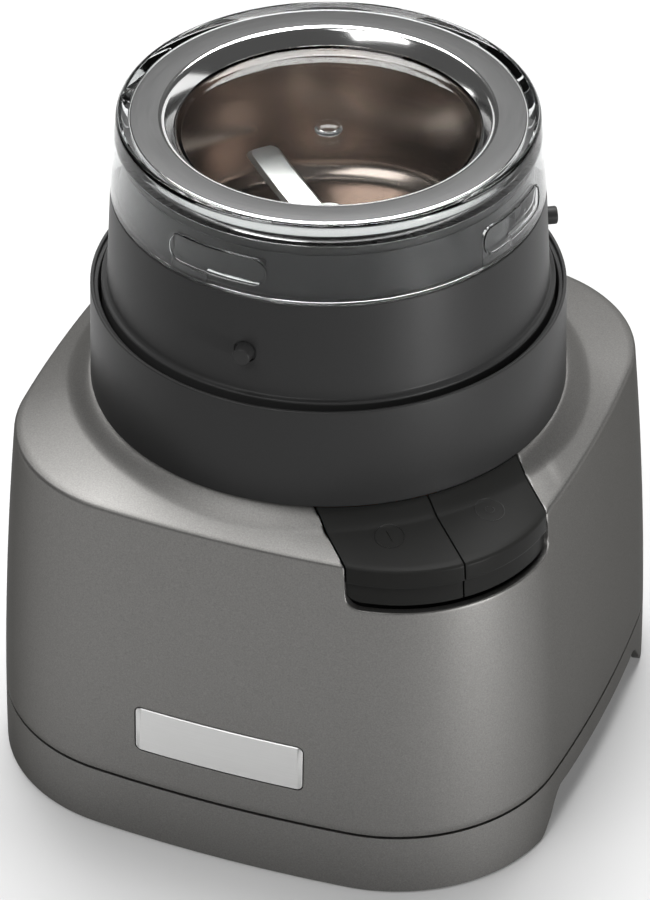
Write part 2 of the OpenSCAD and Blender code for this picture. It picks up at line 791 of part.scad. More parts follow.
module motor_bottom_bracket() {
    color("#9A9CA0") difference() {
        union() {
            rod(hub_r, low_z, low_bearing_z + bearing_w + 0.5);
            slab(-bolt_r, bolt_r, -2 * post_r, 2 * post_r, low_z, low_z + bracket_t);
            slab(-2 * post_r, 2 * post_r, -holder_y - holder_l, holder_y + holder_l,
                low_z, low_z + bracket_t);
            for (s = [-1, 1]) {
                translate([s * bolt_r, 0, 0]) rod(post_r, low_z, stack_z);
                slab(-brush_w / 2 - holder_wall, brush_w / 2 + holder_wall,
                    s * (holder_y + holder_l - 6) - 6, s * (holder_y + holder_l - 6) + 6,
                    low_z + bracket_t - bite, brush_z - brush_h / 2 - holder_wall - run_fit);
            }
        }
        rod(bearing_d / 2 + press, low_bearing_z, stack_z);
        rod(shaft_d / 2 + 1, low_z - 1, stack_z);
        for (s = [-1, 1]) translate([s * bolt_r, 0, 0]) {
            rod(bolt_d / 2 + ease / 2, low_z - 1, stack_z + 1);
            rod(bolt_d + ease, low_z - 1, low_z + screw_head_h);
        }
    }
}

module motor_top_bracket() {
    arm = mount_r + post_r + 1;
    color("#9A9CA0") difference() {
        union() {
            rod(hub_r, bracket_z, high_bearing_z + bearing_w + 0.5);
            slab(-arm, arm, -2 * post_r, 2 * post_r, bracket_z, bracket_top);
            slab(-2 * post_r, 2 * post_r, -arm, arm, bracket_z, bracket_top);
            for (s = [-1, 1]) translate([s * bolt_r, 0, 0]) rod(post_r, stack_top, bracket_top);
        }
        rod(bearing_d / 2 + press, high_bearing_z, deck_z);
        rod(shaft_d / 2 + 1, bracket_z - 1, deck_z);
        on_sides(mount_r) rod(bolt_d / 2 + ease, bracket_z - 1, bracket_top + 1);
        for (s = [-1, 1]) translate([s * bolt_r, 0, 0])
            rod(bolt_d / 2 + press, stack_top - 1, bracket_top + 1);
    }
}

module bearing(z) {
    edge = 0.4;
    color("#C9CCD0") rotate_extrude() polygon([
        [shaft_d / 2 + run_fit, z], [bearing_d / 2 - edge, z], [bearing_d / 2, z + edge],
        [bearing_d / 2, z + bearing_w - edge], [bearing_d / 2 - edge, z + bearing_w],
        [shaft_d / 2 + run_fit, z + bearing_w]
    ]);
}
module upper_bearing() { bearing(high_bearing_z); }
module lower_bearing() { bearing(low_bearing_z); }

module motor_screws() {
    color("#B8B8B8") for (s = [-1, 1]) translate([s * bolt_r, 0, 0])
        screw(bolt_d, low_z + screw_head_h, bracket_top - low_z - screw_head_h - 1);
}

module motor_mounts() {
    color("#1E1E1E") on_sides(mount_r) tube(bolt_d / 2 + ease, post_r + 1, bracket_top, boss_z);
}

module mount_screws() {
    color("#B8B8B8") on_sides(mount_r) screw(bolt_d, bracket_z, boss_z + boss_h - bracket_z - 1);
}

module at_brushes() { for (s = [90, 270]) rotate([0, 0, s]) translate([0, 0, brush_z]) children(); }

module brush_box(grow, x0, x1) {
    slab(x0, x1, -brush_w / 2 - grow, brush_w / 2 + grow, -brush_h / 2 - grow, brush_h / 2 + grow);
}

module brush_holders() {
    color("#C8A24A") at_brushes() difference() {
        brush_box(holder_wall + run_fit, holder_y, holder_y + holder_l);
        brush_box(run_fit, holder_y - 1, holder_y + holder_l + 1);
    }
}

module carbon_brushes() {
    color("#2A2A2A") difference() {
        at_brushes() brush_box(0, commutator_d / 2 - 1, commutator_d / 2 + brush_l);
        rod(commutator_d / 2 + run_fit, commutator_z - 1, commutator_z + commutator_h + 1);
    }
}

module brush_springs() {
    color("#BDBDBD") at_brushes() translate([commutator_d / 2 + brush_l, 0, 0]) rotate([0, 90, 0])
        coil_spring(brush_w / 2 - 0.6, brush_spring_l, 5, 0.5, "brush spring");
}

module brush_caps() {
    color("#1E1E1E") at_brushes()
        brush_box(holder_wall + run_fit, holder_y + holder_l, holder_y + holder_l + 2);
}

module motor_shaft() {
    color("#C4C6C8") rod(shaft_d / 2, low_bearing_z, dog_z + dog_h - 2);
}

module rotor_core() {
    color("#7A7D80") difference() {
        tube(shaft_d / 2 + press, rotor_d / 2, stack_z, stack_top);
        ring_of(slot_count, rotor_d / 2 - slot_d)
            slab(0, slot_d + 1, -slot_w / 2, slot_w / 2, stack_z - 1, stack_top + 1);
    }
}

module rotor_windings() {
    bar_in = rotor_d / 2 - slot_d + press;
    bar_out = rotor_d / 2 - 0.5;
    bar_half = slot_w / 2 - 0.1;
    color("#B5652A") {
        tube(shaft_d / 2 + 2, bar_in + 1, stack_z - coil_end, stack_z);
        tube(shaft_d / 2 + 2, bar_in + 1, stack_top, stack_top + coil_end);
        ring_of(slot_count, 0)
            slab(bar_in, bar_out, -bar_half, bar_half, stack_z - coil_end / 2, stack_top + coil_end / 2);
    }
}

module commutator() {
    color("#C07A45") difference() {
        tube(shaft_d / 2 + press, commutator_d / 2, commutator_z, commutator_z + commutator_h);
        ring_of(slot_count, 0) slab(commutator_d / 2 - 1, commutator_d / 2 + 1, -0.3, 0.3,
            commutator_z - 1, commutator_z + commutator_h + 1);
    }
}

module cooling_fan() {
    hub = shaft_d / 2 + 4;
    web = 1.5;
    color("#303030") difference() {
        union() {
            rod(hub, fan_z, fan_z + fan_h);
            rod(fan_d / 2, fan_z + fan_h - web, fan_z + fan_h);
            ring_of(9, hub - bite)
                slab(0, fan_d / 2 - hub, -web / 2, web / 2, fan_z, fan_z + fan_h - web + bite);
        }
        rod(shaft_d / 2 + press, fan_z - 1, fan_z + fan_h + 1);
    }
}

// Dog clutch: three teeth on the motor's side, in a cup with three slots on the mill's side

module dog_form(grow, z0, z1) {
    rod(dog_r + grow, z0, z1);
    ring_of(3, dog_r - 1, blade_turn)
        slab(0, dog_tooth + 1 + grow, -dog_tooth_w / 2 - grow, dog_tooth_w / 2 + grow, z0, z1);
}

module drive_dog() {
    color("#E4E2DC") difference() {
        dog_form(0, dog_z, dog_z + dog_h);
        rod(shaft_d / 2 + press, dog_z - 1, dog_z + dog_h - 1.5);
    }
}

module driven_dog() {
    color("#E4E2DC") difference() {
        rod(cup_r, dog_z + ease, cup_top);
        dog_form(ease + 0.1, dog_z - 1, cup_in);
        rod(blade_shaft_d / 2 + press, cup_in - 1, cup_top + 1);
    }
}

// Mill

module mill_body() {
    bead = 0.5;
    peg_l = skirt_r - ledge_r + peg_out;
    color("#3A3A3A") difference() {
        union() {
            rotate_extrude() polygon([
                [skirt_r, socket_z + 1], [skirt_r, rim_z - 0.8], [skirt_r + bead, rim_z - 0.2],
                [skirt_r + bead, rim_z + 0.8], [skirt_r - 0.1, rim_z + 1.4], [ledge_r, ledge_z],
                [neck_r + 0.3, ledge_z], [neck_r, neck_z], [neck_r - mill_wall, neck_z],
                [neck_r - mill_wall, ledge_z - 3], [ledge_r - mill_wall, ledge_z - 7],
                [skirt_r - mill_wall, rim_z], [skirt_r - mill_wall, socket_z + 1]
            ]);
            ring_of(3, ledge_r - mill_wall + 1, -90)
                translate([0, 0, rim_z + peg_rise]) rotate([0, 90, 0]) cylinder(d = peg_d, h = peg_l);
            for (a = [lock_angle : 90 : lock_angle + 270])
                sector(neck_r - 1, lug_r, a - lug_span / 2, a + lug_span / 2, lug_z, lug_z + lug_h);
            ring_of(3, mill_boss_x, 30) rod(mill_boss_r, mill_plate, mill_boss_top);
        }
        ring_of(3, mill_boss_x, 30) rod(tray_screw_d / 2 + press, mill_plate - 1, mill_screw_top + 1);
    }
}

module mill_base() {
    well = cup_r + 1.5;
    well_out = well + 2.5;
    plate_low = socket_z + foot_lift;
    color("#333333") difference() {
        rotate_extrude() polygon([
            [well, plate_low], [foot_rim - foot_w, plate_low], [foot_rim - foot_w + 1, socket_z],
            [foot_rim - 1, socket_z], [foot_rim, plate_low], [foot_rim, mill_plate], [well_out, mill_plate],
            [well_out, hub_top - 2], [well_out - 1.5, hub_top],
            [bush_r + press, hub_top], [bush_r + press, cup_top + ease], [well, cup_top + ease]
        ]);
        ring_of(3, mill_boss_x, 30) {
            rod(tray_screw_d / 2 + ease, socket_z - 1, mill_plate + 1);
            rod(tray_screw_d + ease, socket_z - 1, plate_low);
        }
        ring_of(3, foot_rim - foot_w - 1, 90)
            slab(0, foot_w + 2, -tab_w / 2 - ease, tab_w / 2 + ease, socket_z - 1, plate_low);
    }
}

module mill_screws() {
    color("#B8B8B8") ring_of(3, mill_boss_x, 30) {
        rod(tray_screw_d / 2, socket_z + foot_lift - bite, mill_screw_top);
        rod(tray_screw_d, socket_z + foot_lift - 1.6, socket_z + foot_lift);
    }
}

// Half section of the bowl's wall, drawn t inside its outer face
function bowl_side(t) = let (r = bowl_corner - t) [
    for (a = [-90 : 15 : 0])
        [bowl_floor_r - bowl_corner + r * cos(a), hub_top + bowl_corner + r * sin(a)],
    [bowl_rim_r - t, neck_z]
];

module mill_bowl() {
    outer = bowl_side(0);
    inner = bowl_side(bowl_t);
    hole = bush_r + 0.5;
    brim = [[neck_r - 0.4, neck_z], [neck_r - 0.4, neck_z + bowl_t], [bowl_rim_r - bowl_t, neck_z + bowl_t]];
    color("#A8A6A2") rotate_extrude() polygon(concat(
        [[hole, hub_top]], outer, brim,
        [for (i = [len(inner) - 2 : -1 : 0]) inner[i]], [[hole, bowl_floor]]
    ));
}

module blade_bush() {
    color("#B08D57") tube(blade_shaft_d / 2 + run_fit, bush_r, cup_top + ease, hub_top);
}

module bowl_seal() {
    color("#1C1C1C") difference() {
        union() {
            rod(bush_r + 0.5 - press, hub_top, bowl_floor + 1.5);
            rod(bush_r + 3, bowl_floor, bowl_floor + 1.5);
        }
        rod(blade_shaft_d / 2 + run_fit, hub_top - 1, bowl_floor + 2);
    }
}

module blade_shaft() {
    color("#C4C6C8") {
        rod(blade_shaft_d / 2, cup_in, blade_z);
        rod(stud_r, blade_z - bite, blade_z + blade_t + nut_h - 1);
    }
}

module blade() {
    root = blade_w;
    tip = blade_reach - blade_w / 2;
    far = blade_reach + 1;
    rise = (far - root) * tan(blade_bend);
    color("#C9C9C8") rotate([0, 0, blade_turn]) translate([0, 0, blade_z]) difference() {
        intersection() {
            rotate([90, 0, 0]) translate([0, 0, -blade_w]) linear_extrude(2 * blade_w) polygon([
                [-far, rise], [-root, 0], [root, 0], [far, rise],
                [far, rise + blade_t], [root, blade_t], [-root, blade_t], [-far, rise + blade_t]
            ]);
            translate([0, 0, -1]) linear_extrude(rise + blade_t + 2) {
                square([2 * tip, blade_w], center = true);
                for (s = [-1, 1]) translate([s * tip, 0]) circle(d = blade_w);
            }
        }
        rod(stud_r + press, -1, blade_t + 1);
    }
}

module blade_nut() {
    color("#C9C9C8") difference() {
        union() {
            translate([0, 0, blade_z + blade_t]) cylinder(d = nut_af / cos(30), h = nut_h - 2, $fn = 6);
            rod(nut_af / 2 - 0.4, blade_z + blade_t + nut_h - 2 - bite, blade_z + blade_t + nut_h);
        }
        rod(stud_r + press, blade_z, blade_z + blade_t + nut_h - 0.8);
    }
}

// Lid

module lid_seal() {
    low = neck_z + bowl_t;
    color("#8A8A88") tube(bowl_rim_r - bowl_t + ease, neck_r - 0.6, low, low + seal_h);
}

function lid_outer(z) = ledge_r - lid_draft * (z - lid_z) / lid_h;

module lid_shell() {
    top_r = lid_outer(lid_top);
    edge = [for (a = [0 : 15 : 90])
        [top_r - lid_edge + lid_edge * cos(a), lid_top - lid_edge + lid_edge * sin(a)]];
    boss_r = 3.6;
    boss_top = window_z + 1;
    seat_r = ring_out + 0.15;
    color("#C8D0D4", 0.35) difference() {
        rotate_extrude() polygon(concat(
            [[ledge_r - lid_wall, lid_z], [ledge_r, lid_z]], edge,
            [[seat_r, lid_top], [seat_r, ring_seat], [ring_in, ring_seat], [window_r, window_z],
            [boss_r, window_z], [boss_r - 0.6, boss_top], [0, boss_top], [0, window_z - window_t],
            [window_r - 1.5, window_z - window_t], [window_r + 1, lid_under],
            [lid_outer(lid_under) - lid_wall, lid_under]]
        ));
        for (a = [lock_angle : 90 : lock_angle + 270]) {
            start = a - lug_span / 2 - lid_turn - 1;
            sector(neck_r, pocket_r, start, a + lug_span / 2 + 1, lug_z - 0.5, lug_z + lug_h + 0.8);
            sector(neck_r, pocket_r, start, a - lug_span / 2 - 1, lid_z - 1, lug_z);
        }
    }
}

module lid_trim_ring() {
    bevel = 0.3;
    top = ring_seat + ring_t;
    color("#858585") rotate_extrude() polygon([
        [ring_in, ring_seat], [ring_out, ring_seat], [ring_out, top - bevel], [ring_out - bevel, top],
        [ring_in + bevel, top], [ring_in, top - bevel]
    ]);
}

base_tray();
rubber_feet();
tray_screws();
upper_housing();
nameplate();
collar();
collar_screws();
on_button();
pulse_button();
button_bracket();
bracket_screws();
button_pin();
on_button_spring();
pulse_button_spring();
switch_board();
micro_switches();
on_switch_plunger();
pulse_switch_plunger();
cord_inlet();
stator_core();
field_coils();
motor_top_bracket();
motor_bottom_bracket();
upper_bearing();
lower_bearing();
motor_screws();
motor_mounts();
mount_screws();
brush_holders();
carbon_brushes();
brush_springs();
brush_caps();
motor_shaft();
rotor_core();
rotor_windings();
commutator();
cooling_fan();
drive_dog();
drive_seal();
mill_body();
mill_base();
mill_screws();
mill_bowl();
blade_bush();
bowl_seal();
blade_shaft();
blade();
blade_nut();
driven_dog();
lid_seal();
lid_shell();
lid_trim_ring();
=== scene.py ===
"""Looks of a grinding mill that stands on its motor base.

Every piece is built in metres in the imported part's own frame: the origin is on the mill's axis at the
floor, +Z is up and the front with the badge faces -Y. Run as a script, it dresses the part and sets the
stage.
"""
import functools
import json
import math

import bmesh
import bpy
from bpy.props import FloatProperty, FloatVectorProperty, PointerProperty
from mathutils import Matrix, Vector


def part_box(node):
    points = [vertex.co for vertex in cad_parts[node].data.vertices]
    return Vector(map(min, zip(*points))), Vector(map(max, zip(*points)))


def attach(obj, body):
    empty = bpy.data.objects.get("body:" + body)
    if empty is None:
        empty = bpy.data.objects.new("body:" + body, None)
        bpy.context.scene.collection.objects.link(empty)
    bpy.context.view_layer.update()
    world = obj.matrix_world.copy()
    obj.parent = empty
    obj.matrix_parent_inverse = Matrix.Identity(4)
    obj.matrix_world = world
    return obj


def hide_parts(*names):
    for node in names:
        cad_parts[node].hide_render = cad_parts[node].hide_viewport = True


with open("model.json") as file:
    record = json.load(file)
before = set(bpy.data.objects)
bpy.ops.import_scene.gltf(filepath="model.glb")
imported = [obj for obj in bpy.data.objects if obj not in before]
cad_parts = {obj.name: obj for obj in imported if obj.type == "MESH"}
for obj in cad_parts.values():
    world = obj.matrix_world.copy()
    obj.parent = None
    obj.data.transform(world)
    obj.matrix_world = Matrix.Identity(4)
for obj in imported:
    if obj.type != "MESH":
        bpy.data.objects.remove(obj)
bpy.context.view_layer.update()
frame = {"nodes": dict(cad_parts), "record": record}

bl_info = {
    "name": "Grinding mill",
    "version": (1, 0, 0),
    "blender": (4, 5, 0),
    "location": "View3D > Sidebar > Mill",
    "description": "Dresses a grinding mill and its motor base, and sets a white studio stage",
    "category": "Add Mesh",
}

MM = 0.001
KEY_CORNER = math.radians(-45)
SHOULDER_TURN = math.radians(66)

# Bayonet: directions of the locked lugs, width of a lug and turn of the lid
LUG_TURNS = [math.radians(-91 + 90 * k) for k in range(4)]
LUG_SPAN = math.radians(11)
LID_TURN = math.radians(17)

# Blade: direction of its wings at rest and their bend
BLADE_TURN = math.radians(139)
BLADE_BEND = math.radians(12)

# Top of the base: columns run straight in up to this far from the keys' diagonal, and then turn radial
KEY_REACH = 33 * MM
KEY_FADE = 25 * MM

# Relief: depth of a grain as a share of its size, and depth of a brushed line
GRAIN_DEPTH = 0.2
LINE_DEPTH = 0.02 * MM

# Camera at the photograph's angle: place, direction of view and lens in millimetres
CAMERA_PLACE = (0.37126, -0.94574, 0.82556)
CAMERA_VIEW = (-0.2953, 0.7503, -0.5915)
CAMERA_LENS = 187.6

# Lamps: name, kind, place, watts and size; all point at the middle of the part
LAMP_AIM = Vector((0, 0, 0.09))
LAMPS = (
    ("top_lamp", "AREA", (-0.18, 0.5, 1.44), 36, 1.0),
    ("front_lamp", "AREA", (-0.25, -0.75, 1.15), 7, 0.8),
    ("corner_lamp", "POINT", (0.75, -0.3, 0.05), 13, 0.04),
)


def linear(code):
    """Linear colour of an sRGB hex code."""
    parts = [int(code[i : i + 2], 16) / 255 for i in (1, 3, 5)]
    return tuple(p / 12.92 if p <= 0.04045 else ((p + 0.055) / 1.055) ** 2.4 for p in parts)


def length(name, about, millimetres):
    """A size that a user can change, given in millimetres."""
    return FloatProperty(name=name, description=about, default=millimetres * MM, precision=5, unit="LENGTH")


def colour(name, about, code):
    """A colour that a user can change, given as an sRGB hex code."""
    return FloatVectorProperty(
        name=name, description=about, default=linear(code), subtype="COLOR", min=0, max=1)


# Sizes and colours that a user would change


class BaseSizes(bpy.types.PropertyGroup):
    collar_r: length("Collar radius", "Outer radius of the collar where it stands on the base", 63)
    shoulder_w: length("Shoulder width", "From the collar out to the shoulder, at the end of a side", 10)
    side_taper: length("Side taper", "How much further out a side stands at the floor", 5.7)
    side_curve: FloatProperty(name="Side curve", description="Power of the side's curve", default=1.75)
    side_bow: length("Side bow", "How far the middle of a side bulges", 1.4)
    corner_r: length("Corner radius", "Radius of the base's corners at the shoulder", 41)
    shoulder_z: length("Shoulder height", "Height of the shoulder above the floor", 102.7)
    shoulder_edge: length("Shoulder edge", "Radius of the shoulder's rounded edge", 1.3)
    slope_h: length("Slope height", "Even rise of the top face from the shoulder in to the collar", 4.1)
    cove_h: length("Cove height", "Height of the S curve that is laid over it by the collar", 1.7)
    cove_w: length("Cove width", "Width of that curve", 6.5)
    collar_gap: length("Collar gap", "Gap round the collar", 0.3)
    wall: length("Wall", "Wall thickness of the shells", 2.2)
    split_z: length("Split height", "Height of the split between the tray and the upper shell", 19.2)
    split_gap: length("Split gap", "Width of the dark line at the split", 0.7)
    split_edge: length("Split edge", "Radius of the two edges at the split", 0.25)
    apron_lift: length("Apron lift", "Clearance from the floor to the apron", 0.6)
    arch_h: length("Arch height", "Height of the arch in each side of the apron", 11.5)
    arch_half: length("Arch half width", "Half the arch's width at the floor", 43)
    arch_run: length("Arch run", "Length of the S curve at each end of the arch", 13)
    floor_z: length("Tray floor", "Height of the tray floor's underside", 12.5)
    foot_r: length("Foot radius", "Radius of a rubber foot", 9)
    foot_h: length("Foot height", "Height of a rubber foot", 4)
    plate_w: length("Badge width", "Width of the bare badge plate", 47.2)
    plate_h: length("Badge height", "Height of the bare badge plate", 13.6)
    plate_z: length("Badge place", "Height of the badge plate's centre", 37)
    plate_corner: length("Badge corner", "Corner radius of the badge plate", 1.6)


class KeySizes(bpy.types.PropertyGroup):
    half: length("Half width", "Half the width of the pair of keys", 28)
    gap: length("Gap", "Gap round the keys", 0.5)
    face_h: length("Face height", "Height of a key's front face", 10.9)
    seam_h: length("Seam depth", "Depth of the step in a key's front below the shoulder", 5.2)
    notch_h: length("Notch depth", "Depth of the notch below the shoulder", 12.5)
    notch_corner: length("Notch corner", "Radius of the notch's lower corners", 3)
    notch_edge: length("Notch edge", "Radius of the notch's outer edge", 0.45)
    edge: length("Key edge", "Radius of a key's sides", 0.35)
    front_edge: length("Front edge", "Radius of the edge between a key's top and its front", 1.2)
    step: length("Step", "How far a key's front steps back below the seam", 1.2)
    collar_gap: length("Collar gap", "Gap between a key and the collar", 0.1)
    wall: length("Wall", "Wall thickness of a key", 2)
    mark_t: length("Mark line", "Half the width of a mark's line", 0.16)
    mark_r: length("Mark radius", "Radius of the ring moulded into a key", 3.8)
    mark_x: length("Mark distance", "Distance of a key's mark from the mill's axis, along the corner", 71)
    mark_y: length("Mark offset", "Distance of a key's mark from the corner's diagonal", 14)


class MillSizes(bpy.types.PropertyGroup):
    deck_z: length("Deck height", "Height at which the collar stands", 108.5)
    rim_z: length("Rim height", "Height of the collar's rim", 137.3)
    rim_r: length("Rim radius", "Outer radius of the collar's rim", 62.3)
    lip_w: length("Lip width", "Width of the lip that runs round the collar's rim", 1.0)
    lip_h: length("Lip height", "Height of that lip above the groove inside it", 1.2)
    socket_r: length("Socket radius", "Radius of the collar's socket", 60.2)
    socket_z: length("Socket floor", "Height of the socket's floor", 113.5)
    skirt_r: length("Skirt radius", "Radius of the mill inside the collar", 59.4)
    waist_r: length("Waist radius", "Radius of the mill just above the collar", 57.9)
    ledge_z: length("Ledge height", "Height of the ledge under the lid", 165.6)
    ledge_r: length("Ledge radius", "Radius of the casing at that ledge", 56.3)
    neck_r: length("Neck radius", "Radius of the neck inside the lid", 52.0)
    neck_z: length("Neck height", "Height of the neck's top", 177.1)
    casing: length("Casing wall", "Wall thickness of the mill's casing", 2.6)
    peg_d: length("Peg diameter", "Diameter of the three pegs", 4.8)
    peg_z: length("Peg height", "Height of the three pegs", 150)
    peg_out: length("Peg length", "How far a peg stands out", 3.2)
    bowl_z: length("Bowl floor", "Height of the underside of the bowl", 139.4)
    bowl_r: length("Bowl radius", "Outer radius of the bowl at its rim", 49.1)
    bowl_floor_r: length("Bowl floor radius", "Outer radius of the bowl at its floor", 43.1)
    bowl_corner: length("Bowl corner", "Radius of the bowl's bottom corner", 8)
    bowl_t: length("Bowl sheet", "Sheet thickness of the bowl", 0.8)
    blade_w: length("Blade width", "Width of the blade", 10)
    blade_t: length("Blade sheet", "Sheet thickness of the blade", 1.5)
    blade_reach: length("Blade reach", "Distance from the axis to a wing's tip", 38.5)
    blade_root: length("Blade root", "Distance from the axis at which a wing bends up", 9)
    blade_corner: length("Blade corner", "Corner radius of a wing's tip", 2.2)


class LidSizes(bpy.types.PropertyGroup):
    low_z: length("Lid height", "Height of the lid's lower edge", 165.9)
    top_z: length("Lid top", "Height of the lid's top", 187.9)
    top_r: length("Lid top radius", "Outer radius of the lid at its top", 54.3)
    wall: length("Lid wall", "Thickness of the lid's skirt", 2.2)
    edge: length("Lid edge", "Radius of the lid's top edge", 1)
    crown: length("Crown width", "Width of the lid's highest part at its rim", 1.4)
    sink: length("Ring sink", "How far the trim ring lies below the lid's top", 0.95)
    flange_h: length("Flange height", "Height of the trim ring's outer flange", 3.4)
    flange_t: length("Flange sheet", "Sheet thickness of the trim ring's flange", 0.5)
    ring_out: length("Ring outer radius", "Outer radius of the trim ring", 51.0)
    ring_in: length("Ring inner radius", "Inner radius of the trim ring", 42.3)
    ring_t: length("Ring thickness", "Thickness of the trim ring", 1.2)
    window_r: length("Window radius", "Radius of the sunken window", 39.2)
    window_z: length("Window height", "Height of the window's upper face", 182.1)
    window_t: length("Window thickness", "Thickness of the window", 1.8)
    lip_h: length("Lip height", "How far the trim ring's rolled lip reaches down the throat", 4.3)
    lug_z: length("Lug height", "Height of the underside of the bayonet lugs", 170)
    lug_h: length("Lug depth", "Height of a bayonet lug", 6)
    lug_r: length("Lug radius", "Outer radius of the bayonet lugs", 53.4)
    pocket_gap: length("Pocket gap", "Clearance of a lug in its pocket", 1.2)
    bead_r: length("Bead radius", "Radius of the bead round a pocket", 0.35)
    bead_turn: length("Bead corner", "Corner radius of the bead's outline", 3.4)
    under_z: length("Lid underside", "Height of the lid's underside over the seal", 181.4)


class FinishColours(bpy.types.PropertyGroup):
    paint: colour("Paint", "Grey metallic paint of the base", "#7C7B79")
    casing: colour("Casing", "Black plastic of the collar and the mill", "#353535")
    keys: colour("Keys", "Black plastic of the keys", "#282827")
    trim: colour("Trim", "Brushed steel of the trim ring", "#585858")
    badge: colour("Badge", "Brushed aluminium of the badge plate", "#CECECD")
    # The bowl's steel colour is tinted warm brown as a painted reflection of ground spice in the bowl, which
    # is not modelled.
    steel: colour("Steel", "Stainless steel of the bowl", "#B9ABA2")
    clear: colour("Clear", "Clear plastic of the lid", "#F4F6F6")


def settings(group):
    return getattr(bpy.context.scene, group)


# Plan of the base


class BasePlan:
    """Plan outline of the base: four bowed sides and four round corners, all tangent.

    A column of the skin is ("turn", angle of its normal) or, on the corner with the keys,
    ("across", distance from that corner's diagonal)."""

    def __init__(self):
        s = settings("base_sizes")
        self.s = s
        self.half_top = s.collar_r + s.shoulder_w
        self.half_floor = self.half_top + s.side_taper
        self.corner = self.half_top - s.corner_r
        self.reach = self.corner**2 / (2 * s.side_bow) + s.side_bow / 2
        self.tip = math.asin(self.corner / self.reach)

    def half_at(self, z):
        """Half width of the base at a height."""
        return self.half_floor - self.s.side_taper * (z / self.s.shoulder_z) ** self.s.side_curve

    def point(self, half, turn):
        """Point of the outline whose normal points along turn."""
        quarter = round(turn / (math.pi / 2))
        t = turn - quarter * math.pi / 2
        corner_r = half - self.corner
        if abs(t) <= self.tip:
            side_r = self.reach + corner_r
            p = Vector((half + self.s.side_bow - side_r + side_r * math.cos(t), side_r * math.sin(t)))
        else:
            p = Vector((self.corner, math.copysign(self.corner, t)))
            p += corner_r * Vector((math.cos(t), math.sin(t)))
        return Matrix.Rotation(quarter * math.pi / 2, 2) @ p

    def key_turn(self, half, across):
        """Direction of the normal where the outline lies across from the diagonal of the keys' corner."""
        corner_r = half - self.corner
        if abs(across) <= corner_r * math.sin(math.pi / 4 - self.tip):
            return KEY_CORNER + math.asin(across / corner_r)
        side_r = self.reach + corner_r
        middle = (half + self.s.side_bow - side_r) / math.sqrt(2)
        return KEY_CORNER + math.copysign(math.asin((abs(across) - middle) / side_r), across)

    def at(self, half, column):
        kind, value = column
        return self.point(half, value if kind == "turn" else self.key_turn(half, value))

    def on_circle(self, column, r):
        """Point of a circle for a column: straight in beside the keys, and radial further away."""
        out, side = Matrix.Rotation(-KEY_CORNER, 2) @ self.at(self.half_top, column)
        radial = math.atan2(side, out)
        straight = math.asin(max(-1, min(1, side / r)))
        away = max(0, min(1, (abs(side) - KEY_REACH) / KEY_FADE)) if out > 0 else 1
        angle = straight + (radial - straight) * away * away * (3 - 2 * away)
        return Matrix.Rotation(KEY_CORNER + angle, 2) @ Vector((r, 0))


def circle_row(plan, r, z):
    return lambda column: Vector((*plan.on_circle(column, r), z))


def ring_row(plan, half, z):
    return lambda column: Vector((*plan.at(half, column), z))


def wall_row(plan, z):
    return ring_row(plan, plan.half_at(z), z)


def blend_row(first, second, share):
    return lambda column: first(column).lerp(second(column), share)


def cove_row(plan, share, shoulder):
    """Row on the S curve that is laid over the straight fall from the collar to the shoulder."""
    s = plan.s
    foot = s.collar_r + s.collar_gap
    deck = s.shoulder_z + s.slope_h
    lift = s.cove_h * (1 - share * share * (3 - 2 * share))

    def place(column):
        first = plan.on_circle(column, foot)
        spot = plan.on_circle(column, foot + s.cove_w * share)
        last = shoulder(column)
        fall = (spot - first).length / (last.xy - first).length
        return Vector((*spot, deck + (last.z - deck) * fall + lift))

    return place


def top_rows(plan, start, edge):
    """Rows of the base's upper face, from a radius by the collar out over the rounded shoulder."""
    s = plan.s
    lean = math.atan(s.side_taper * s.side_curve / s.shoulder_z)
    middle_z = s.shoulder_z - edge
    middle = plan.half_at(middle_z + edge * math.sin(lean)) - edge * math.cos(lean)
    arc = []
    for i in range(7):
        a = SHOULDER_TURN + (lean - SHOULDER_TURN) * i / 6
        arc.append(ring_row(plan, middle + edge * math.cos(a), middle_z + edge * math.sin(a)))
    rows = [circle_row(plan, start, s.shoulder_z + s.slope_h + s.cove_h)]
    rows += [cove_row(plan, i / 16, arc[0]) for i in range(17)]
    return rows + [blend_row(rows[-1], arc[0], i / 8) for i in range(1, 8)] + arc


def turn_columns(first, last, plan, side_steps=20, corner_steps=36):
    """Columns all round from one direction to another, evenly along each side and corner."""
    turns = []
    for quarter in range(5):
        middle = quarter * math.pi / 2
        turns += [middle - plan.tip + 2 * plan.tip * i / side_steps for i in range(side_steps)]
        corner = math.pi / 2 - 2 * plan.tip
        turns += [middle + plan.tip + corner * i / corner_steps for i in range(corner_steps)]
    return [("turn", t) for t in turns if first < t < last]


# Mesh kit


def quads(bm, rows, closed=False):
    """Faces between neighbouring rows of vertices."""
    for upper, lower in zip(rows, rows[1:]):
        count = len(upper)
        for j in range(count if closed else count - 1):
            k = (j + 1) % count
            bm.faces.new((upper[j], lower[j], lower[k], upper[k]))


def thicken(bm, depth):
    """Gives an open skin a wall that grows inwards, and returns the edges of its outer rim."""
    bm.normal_update()
    rim = [e for e in bm.edges if e.is_boundary]
    sides = [(e.link_loops[0].vert, e.link_loops[0].link_loop_next.vert) for e in rim]
    skin = list(bm.faces)
    inner = {v: bm.verts.new(v.co - v.normal * depth) for v in list(bm.verts)}
    for face in skin:
        bm.faces.new([inner[v] for v in reversed(face.verts)])
    for a, b in sides:
        bm.faces.new((b, a, inner[a], inner[b]))
    return rim


def soften(bm, edges, width, steps=3):
    bmesh.ops.bevel(
        bm, geom=edges, offset=width, segments=steps, profile=0.5, affect="EDGES", clamp_overlap=True)


def shade(mesh, degrees):
    mesh.shade_smooth()
    mesh.set_sharp_from_angle(angle=math.radians(degrees))


